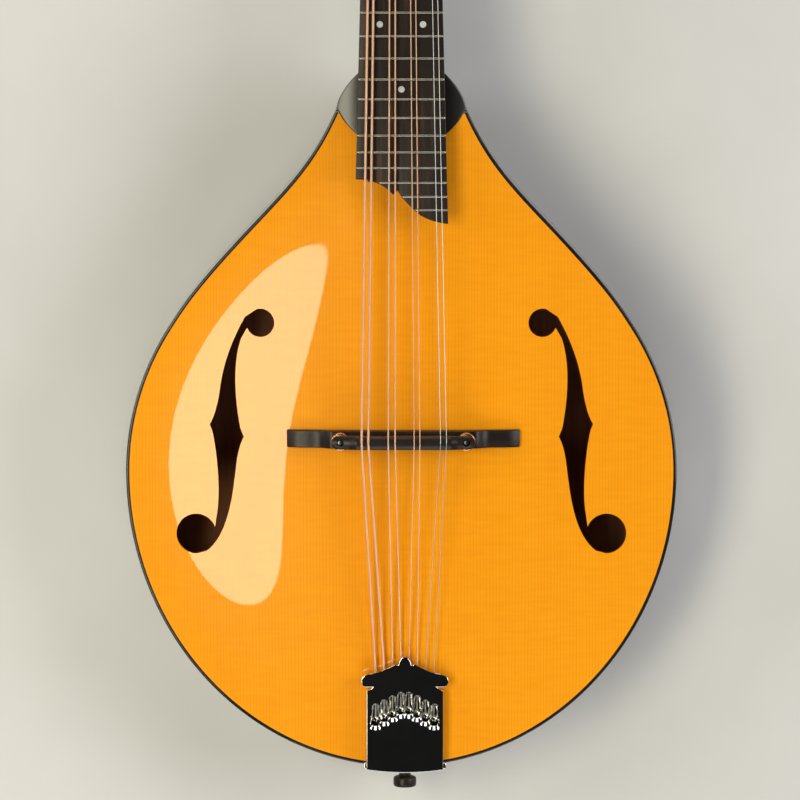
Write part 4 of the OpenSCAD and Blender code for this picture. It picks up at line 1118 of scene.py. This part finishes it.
def make_end_pin():
    head_r, rim_r = 6, 1.6
    profile = (
        [(0, 155), (3.85, 155), (3.85, 175.4), (4.5, 176.4), (4.9, 177.2), (4.9, 178), (4.5, 178.5)]
        + [(2.9 + 1.4 * (1 - sin(a)) ** 1.5, 178.6 + 1.4 * (1 - cos(a)))
           for a in np.linspace(0.15, pi / 2, 6)]
        + [(2.9, 180.9), (3.4, 181.8)]
        + arc((head_r - rim_r, 183.8), rim_r, -75, 0, 7)
        + arc((head_r - rim_r, PIN_END - rim_r), rim_r, 0, 85, 7)
        + [(2.6, PIN_END), (2.3, PIN_END - 0.35), (0, PIN_END - 0.3)]
    )
    piece("end_pin_turned", lathe(profile, 64), BODY @ moved(TAIL_X, 0, PIN_Z) @ turned(90), "ebony_x",
          "end_pin", sharp=45)


# ---- tuning machines

GEAR_TEETH = 16
GEAR_PITCH_R = 5.2
WORM_PITCH_R = 2.5
WORM_LEAD = 2 * pi * GEAR_PITCH_R / GEAR_TEETH
WORM_Y = GEAR_PITCH_R + WORM_PITCH_R
WORM_TURNS, WORM_STEPS = 3.5, 28
GEAR_Z = -HEAD_T - 4.7
GEAR_T = 2.4
GEAR_LOW, GEAR_HIGH = GEAR_Z - GEAR_T / 2, GEAR_Z + GEAR_T / 2
SHAFT_R = 1.6
POST_R = 3
WAIST_R = 2.5
WINDING_Z = 5.6
WINDING_TURNS, WINDING_STEPS = 2.6, 104
TUNER_PLATE_T = 1.2
PLATE_R = 7
LAST_POST_Y = FIRST_POST_Y + 3 * POST_PITCH
BUTTON_X = (16.4, 30)


def make_tuner_plates():
    posts_y = [FIRST_POST_Y + k * POST_PITCH for k in range(4)]
    middle_y = FIRST_POST_Y + 1.5 * POST_PITCH + 1
    for side, name in ((-1, "bass"), (1, "treble")):
        ends = (arc((POST_X, FIRST_POST_Y - 2), PLATE_R, 180, 360, 24)
                + arc((POST_X, LAST_POST_Y + 9), PLATE_R, 0, 180, 24))
        outline = [(side * x, y) for x, y in ends]
        plate = piece(f"tuner_plate_{name}_body",
                      prism(outline, -HEAD_T - TUNER_PLATE_T, -HEAD_T - GAP), HEAD, "nickel",
                      f"tuner_plate_{name}", bevel=0.3)
        cut(plate, round_holes([(side * POST_X, y) for y in posts_y], POST_R + GAP, -30, 10), HEAD)
        cheeks = []
        for y in (post_y + WORM_Y for post_y in posts_y):
            for x in (-6.4, 5):
                crest = [(y + dy, z) for dy, z in arc((0, GEAR_Z), 2.6, 180, 360, 16)]
                outline = [(y - 2.6, -HEAD_T - 1), *crest, (y + 2.6, -HEAD_T - 1)]
                faces_x = sorted((side * (POST_X + x), side * (POST_X + x + 1.4)))
                cheeks.append(skin([[(xx, yy, zz) for yy, zz in outline] for xx in faces_x]))
        brackets = piece(f"tuner_brackets_{name}", joined(*cheeks), HEAD, "nickel", bevel=0.2)
        across = HEAD @ moved(side * (POST_X - 10), 0, 0) @ turned(90, "Y")
        bores = [(-GEAR_Z, y + WORM_Y) for y in posts_y]
        cut(brackets, round_holes(bores, SHAFT_R + 0.06, -30, 30, 24), across)
    screws = [(side * x, y) for side in (-1, 1) for x, y in
              ((POST_X, FIRST_POST_Y - 6), (POST_X, LAST_POST_Y + 13), (POST_X + 3, middle_y))]
    slotted_heads("tuner_screw_heads", "tuner_screws", screws, 1.0, -HEAD_T - TUNER_PLATE_T - GAP,
                  HEAD, up=-1)


def make_bushings():
    ring = lathe([(POST_R + GAP, -6), (4, -6), (4, OVERLAY_T + GAP), (5.2, OVERLAY_T + GAP), (5.2, 2.5),
                  (5.0, 2.8), (4.5, 3.1), (4.0, 3.2), (POST_R + 0.25, 3.2), (POST_R + GAP, 3.0)])
    places = [moved(*post_place(i), 0) for i in NUMBERS]
    piece("bushing_rings", copies(ring, places), HEAD, "nickel", "post_bushings", sharp=40)


def gear():
    tooth = [(4.35, 7.6), (4.5, 6.0), (5.2, 3.7), (5.7, 2.2), (5.8, 1.6)]
    flank = [(r, -w) for r, w in tooth] + tooth[::-1]
    middles = [360 / GEAR_TEETH * k + 90 for k in range(GEAR_TEETH)]
    outline = [(r * cos(radians(m + w)), r * sin(radians(m + w))) for m in middles for r, w in flank]
    return prism(outline, GEAR_LOW, GEAR_HIGH)


def string_look(i):
    return "bronze_wound" if i <= 6 else "plain_steel"


def make_tuner(i):
    post = [(0, GEAR_HIGH), (POST_R, GEAR_HIGH), (POST_R, 3.3), (POST_R - 0.1, 3.6), (WAIST_R, 4.0),
            (WAIST_R, 8.4), (POST_R - 0.1, 9.1), (POST_R, 9.5), (POST_R, 12.2), (2.8, 12.7),
            (2.3, 13.1), (0, 13.2)]
    head = [(2.4, GEAR_LOW), (2.4, GEAR_Z - 1.9), (2.1, GEAR_Z - 2.3), (1.2, GEAR_Z - 2.58),
            (0, GEAR_Z - 2.6)]
    spot = HEAD @ moved(*post_place(i), 0)
    on_post = dict(body=f"post_{i}", slot="nickel")
    shaft = piece(f"tuner_post_{i}_shaft", lathe(post, 40), spot, "nickel", f"tuner_post_{i}",
                  sharp=40, **on_post)
    cut(shaft, prism(circle((0, 0), 0.75, 20), -6, 6), spot @ moved(0, 0, WINDING_Z + 4.6) @ turned(90))
    piece(f"tuner_gear_{i}", gear(), spot, "brass", bevel=0.12, steps=2, **on_post)
    screw = piece(f"tuner_gear_screw_{i}", lathe(head, 32), spot, "steel", **on_post)
    slot = block((-4, -0.3, GEAR_Z - 4), (4, 0.3, GEAR_Z - 2.05))
    cut(screw, slot, spot @ Matrix.Rotation(0.4 * i, 4, "Z"))
    piece(f"string_turns_{i}", winding(i), spot, string_look(i), body=f"post_{i}", sharp=80)
    make_worm(i)


def winding(i):
    """The string's turns round the post."""
    r = radius(i)
    side, start = (1, pi) if bass(i) else (-1, 0)
    path = []
    for k in range(WINDING_STEPS + 1):
        a = start + pi / 2 * side + side * 2 * pi * WINDING_TURNS * k / WINDING_STEPS
        climb = (WINDING_TURNS / 2 - WINDING_TURNS * k / WINDING_STEPS) * 2 * r
        path.append(((WAIST_R + r) * cos(a), (WAIST_R + r) * sin(a), WINDING_Z + climb))
    return tube(path, r, 14)


def rounded(value, power):
    return copysign(abs(value) ** power, value)


def button():
    """An oval button, thickest in the middle of its rim."""
    rings = []
    low, high = BUTTON_X
    for x in low + (high - low) * (1 - np.cos(np.linspace(0.08, pi - 0.08, 26))) / 2:
        u = abs(2 * x - low - high) / (high - low)
        tall, thick = 6 * (1 - u ** 2.6) ** 0.42, 2.8 * (1 - u ** 3) ** 0.5
        rings.append([(x, tall * rounded(cos(a), 0.8), thick * rounded(sin(a), 0.9))
                      for a in whole_turn(40)])
    return skin(rings)


def worm_thread():
    flank = [(0.6, 1.55), (0.42, 2.2), (0.2, 2.95), (0.12, 3.1)]
    flank += [(-dx, r) for dx, r in flank[::-1]]
    rings = []
    steps = int(WORM_TURNS * WORM_STEPS)
    for k in range(-steps // 2, steps // 2 + 1):
        a = 2 * pi * k / WORM_STEPS
        fade = 0.35 + 0.65 * min(1, (steps / 2 - abs(k)) / 6)
        rings.append([(WORM_LEAD * k / WORM_STEPS + dx, (SHAFT_R + (r - SHAFT_R) * fade) * cos(a),
                       (SHAFT_R + (r - SHAFT_R) * fade) * sin(a)) for dx, r in flank])
    return skin(rings)


def make_worm(i):
    x, y = post_place(i)
    spot = HEAD @ moved(x, y + WORM_Y, GEAR_Z) @ Matrix.Diagonal((copysign(1, x), 1, 1, 1))
    shaft = lathe([(0, -7), (1.3, -7), (SHAFT_R, -6.7), (SHAFT_R, 13.9), (2.1, 14.1), (2.6, 14.5),
                   (2.6, 17.0), (2.2, 17.4), (0, 17.5)], 32)
    piece(f"tuner_worm_{i}", joined(placed(shaft, turned(90, "Y")), worm_thread()), spot, "nickel",
          f"tuner_knob_{i}", body=f"knob_{i}", sharp=40)
    piece(f"tuner_button_{i}", button(), spot, "knob_pearloid", body=f"knob_{i}", sharp=70)


# ---- strings

STRING_NUT_X = [-14.6, -12.1, -5.5, -3, 3.2, 5.6, 12.4, 14.8]
NUT_ACTION = 1.3
LOOP_R = 0.25
TWIST_R, TWIST_TURNS, TWIST_STEPS, TWIST_LEN = 0.13, 8, 120, 4.4


def string_stops(i):
    """The string's turning points in the BODY frame: start, tailpiece lip, saddle, nut and post."""
    tail_x, edge, r = STRING_TAIL_X[i - 1], from_edge(i), radius(i)
    px, py = post_place(i)
    return [
        between(TAIL, BODY, (tail_x, DROP_TOP[edge] + 0.6, HOOK_Z)),
        between(TAIL, BODY, (tail_x, STRING_LIP_Y[edge], HOOK_Z)),
        Vector((BRIDGE_X + STRING_SADDLE_X[i - 1], SADDLE_Y, STRING_Z + r)),
        between(BOARD, BODY, (STRING_NUT_X[i - 1], NUT_Y + 0.6, NUT_ACTION + r)),
        between(HEAD, BODY, (copysign(POST_X - WAIST_R - r, px), py, WINDING_Z)),
    ]


def spans(stops, counts):
    """Points along straight spans, closer together beside each bend so that the bend stays crisp."""
    path = []
    for a, b, n in zip(stops, stops[1:], counts):
        near = 0.6 / (b - a).length
        path += [a.lerp(b, m) for m in sorted([0.0, near, *(k / n for k in range(1, n)), 1 - near])]
    return path + [stops[-1]]


def string_loop(i):
    """The core wire from its loop round the hook to the end of the string's winding, with its twist."""
    x, hook = STRING_TAIL_X[i - 1], HOOK_Y[from_edge(i)]
    r = HOOK_R + LOOP_R + 0.05
    ring = [(x + r * cos(a), hook + r * sin(a), HOOK_Z) for a in np.linspace(0, 2 * pi, 33)]
    core = max(0.17, 0.5 * radius(i))
    twist = []
    for k in range(TWIST_STEPS + 1):
        a = 2 * pi * TWIST_TURNS * k / TWIST_STEPS
        wide = core + TWIST_R if k > 12 else 0.2 + (core - 0.07) * k / 12
        y = hook + HOOK_R + 0.5 + TWIST_LEN * k / TWIST_STEPS
        twist.append((x + wide * cos(a), y, HOOK_Z + wide * sin(a)))
    straight = [(x, y, HOOK_Z) for y in (hook + HOOK_R + 2 * LOOP_R + 0.15, DROP_TOP[from_edge(i)] + 1.5)]
    solids = joined(tube(ring, LOOP_R, 10), tube(twist, TWIST_R, 8), tube(straight, core, 12))
    return placed(solids, BODY.inverted() @ TAIL)


def make_string(i):
    stops, r, look = string_stops(i), radius(i), string_look(i)
    piece(f"string_{i}_loop", string_loop(i), BODY, "plain_steel", sharp=80)
    behind = piece(f"string_{i}_tail", tube(spans(stops[:3], (6, 24)), r), BODY, look, f"string_{i}",
                   body=None, sharp=80)
    sounding = piece(f"string_{i}_sounding", tube(spans(stops[2:], (40, 8)), r), BODY, look,
                     body=None, sharp=80)
    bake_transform(behind)
    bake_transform(sounding)


# ---- kept CAD pieces

KEPT = {
    "mahogany": ["head_block", "tail_block"],
    "willow_lining": ["top_linings", "back_linings"],
    "spruce_brace": ["tone_bars"],
    "steel": ["truss_rod"],
    "brass": ["truss_rod_nut"],
    "pearl": ["position_dots", "side_dots"],
    "bone": ["nut"],
}


def finish_kept():
    for look, nodes in KEPT.items():
        for node in nodes:
            mesh = frame["nodes"][node].data
            mesh.materials.clear()
            mesh.materials.append(M[look])


# ---- stage, light and camera

FLOOR_HALF = 6
SENSOR_MM = 36
CAMERA_AWAY = 3000
SEEN_MM = 406.6


def make_floor():
    corners = [(-1, -1), (1, -1), (1, 1), (-1, 1)]
    mesh = bpy.data.meshes.new("floor")
    mesh.from_pydata([(x * FLOOR_HALF, y * FLOOR_HALF, 0) for x, y in corners], [], [(0, 1, 2, 3)])
    mesh.materials.append(clouded("pale_floor", 0.75, 6, 4, (0.64, 0.635, 0.625),
                                  (0.58, 0.575, 0.565), 0.68, 0.82))
    add("floor", mesh)


def area_light(name, place, size, power, colour=(1, 1, 1)):
    """A rectangular light that faces the instrument's middle."""
    data = bpy.data.lights.new(name, "AREA")
    data.shape = "RECTANGLE"
    data.size, data.size_y = size
    data.energy = power
    data.color = colour
    light = add(name, data)
    light.location = place
    light.rotation_mode = "QUATERNION"
    light.rotation_quaternion = (-Vector(place)).to_track_quat("-Z", "Y")
    return light


def make_lights():
    """A large softbox over the bass side, whose reflection lies on the soundboard, and soft fills."""
    softbox = area_light("softbox", BODY @ Vector((-760, -170, 1500)), (0.62, 1.3), 19.6,
                         (1, 0.95, 0.72))
    facing = BODY.to_3x3().normalized() @ Matrix.Rotation(-0.13, 3, "Z")
    softbox.rotation_quaternion = facing.to_quaternion()
    area_light("fill_right", (1.9, 0.1, 1.1), (1.2, 1.6), 31)
    area_light("fill_left", (-1.9, 0.4, 0.9), (1.0, 1.4), 17)
    area_light("fill_tail", (0.1, -2.0, 1.2), (1.6, 0.9), 16)
    area_light("fill_head", (0.1, 2.2, 1.3), (1.6, 1.4), 16)
    world = bpy.data.worlds.new("studio")
    world.use_nodes = True
    world.node_tree.nodes["Background"].inputs["Color"].default_value = (0.01, 0.01, 0.01, 1)
    bpy.context.scene.world = world
    bpy.context.scene.view_settings.view_transform = "Standard"


def make_camera():
    """Square to the fretboard's face and above it, with the neck running out of the picture."""
    data = bpy.data.cameras.new("camera")
    data.sensor_width = SENSOR_MM
    data.lens = SENSOR_MM * CAMERA_AWAY / SEEN_MM
    data.clip_end = 50
    camera = add("camera", data)
    camera.location = BOARD @ Vector((-0.7, 19, CAMERA_AWAY))
    camera.rotation_mode = "QUATERNION"
    camera.rotation_quaternion = BOARD.to_3x3().normalized().to_quaternion()
    bpy.context.scene.camera = camera


for make in (make_camera, make_soundboard, make_back, make_sides, make_binding, make_neck,
             make_fretboard, make_frets, make_headstock, make_rod_cover, make_bridge_base, make_saddle,
             make_bridge_hardware, make_tailpiece, make_tail_screws, make_end_pin, make_tuner_plates,
             make_bushings):
    make()
for number in NUMBERS:
    make_tuner(number)
    make_string(number)
finish_kept()
make_floor()
make_lights()
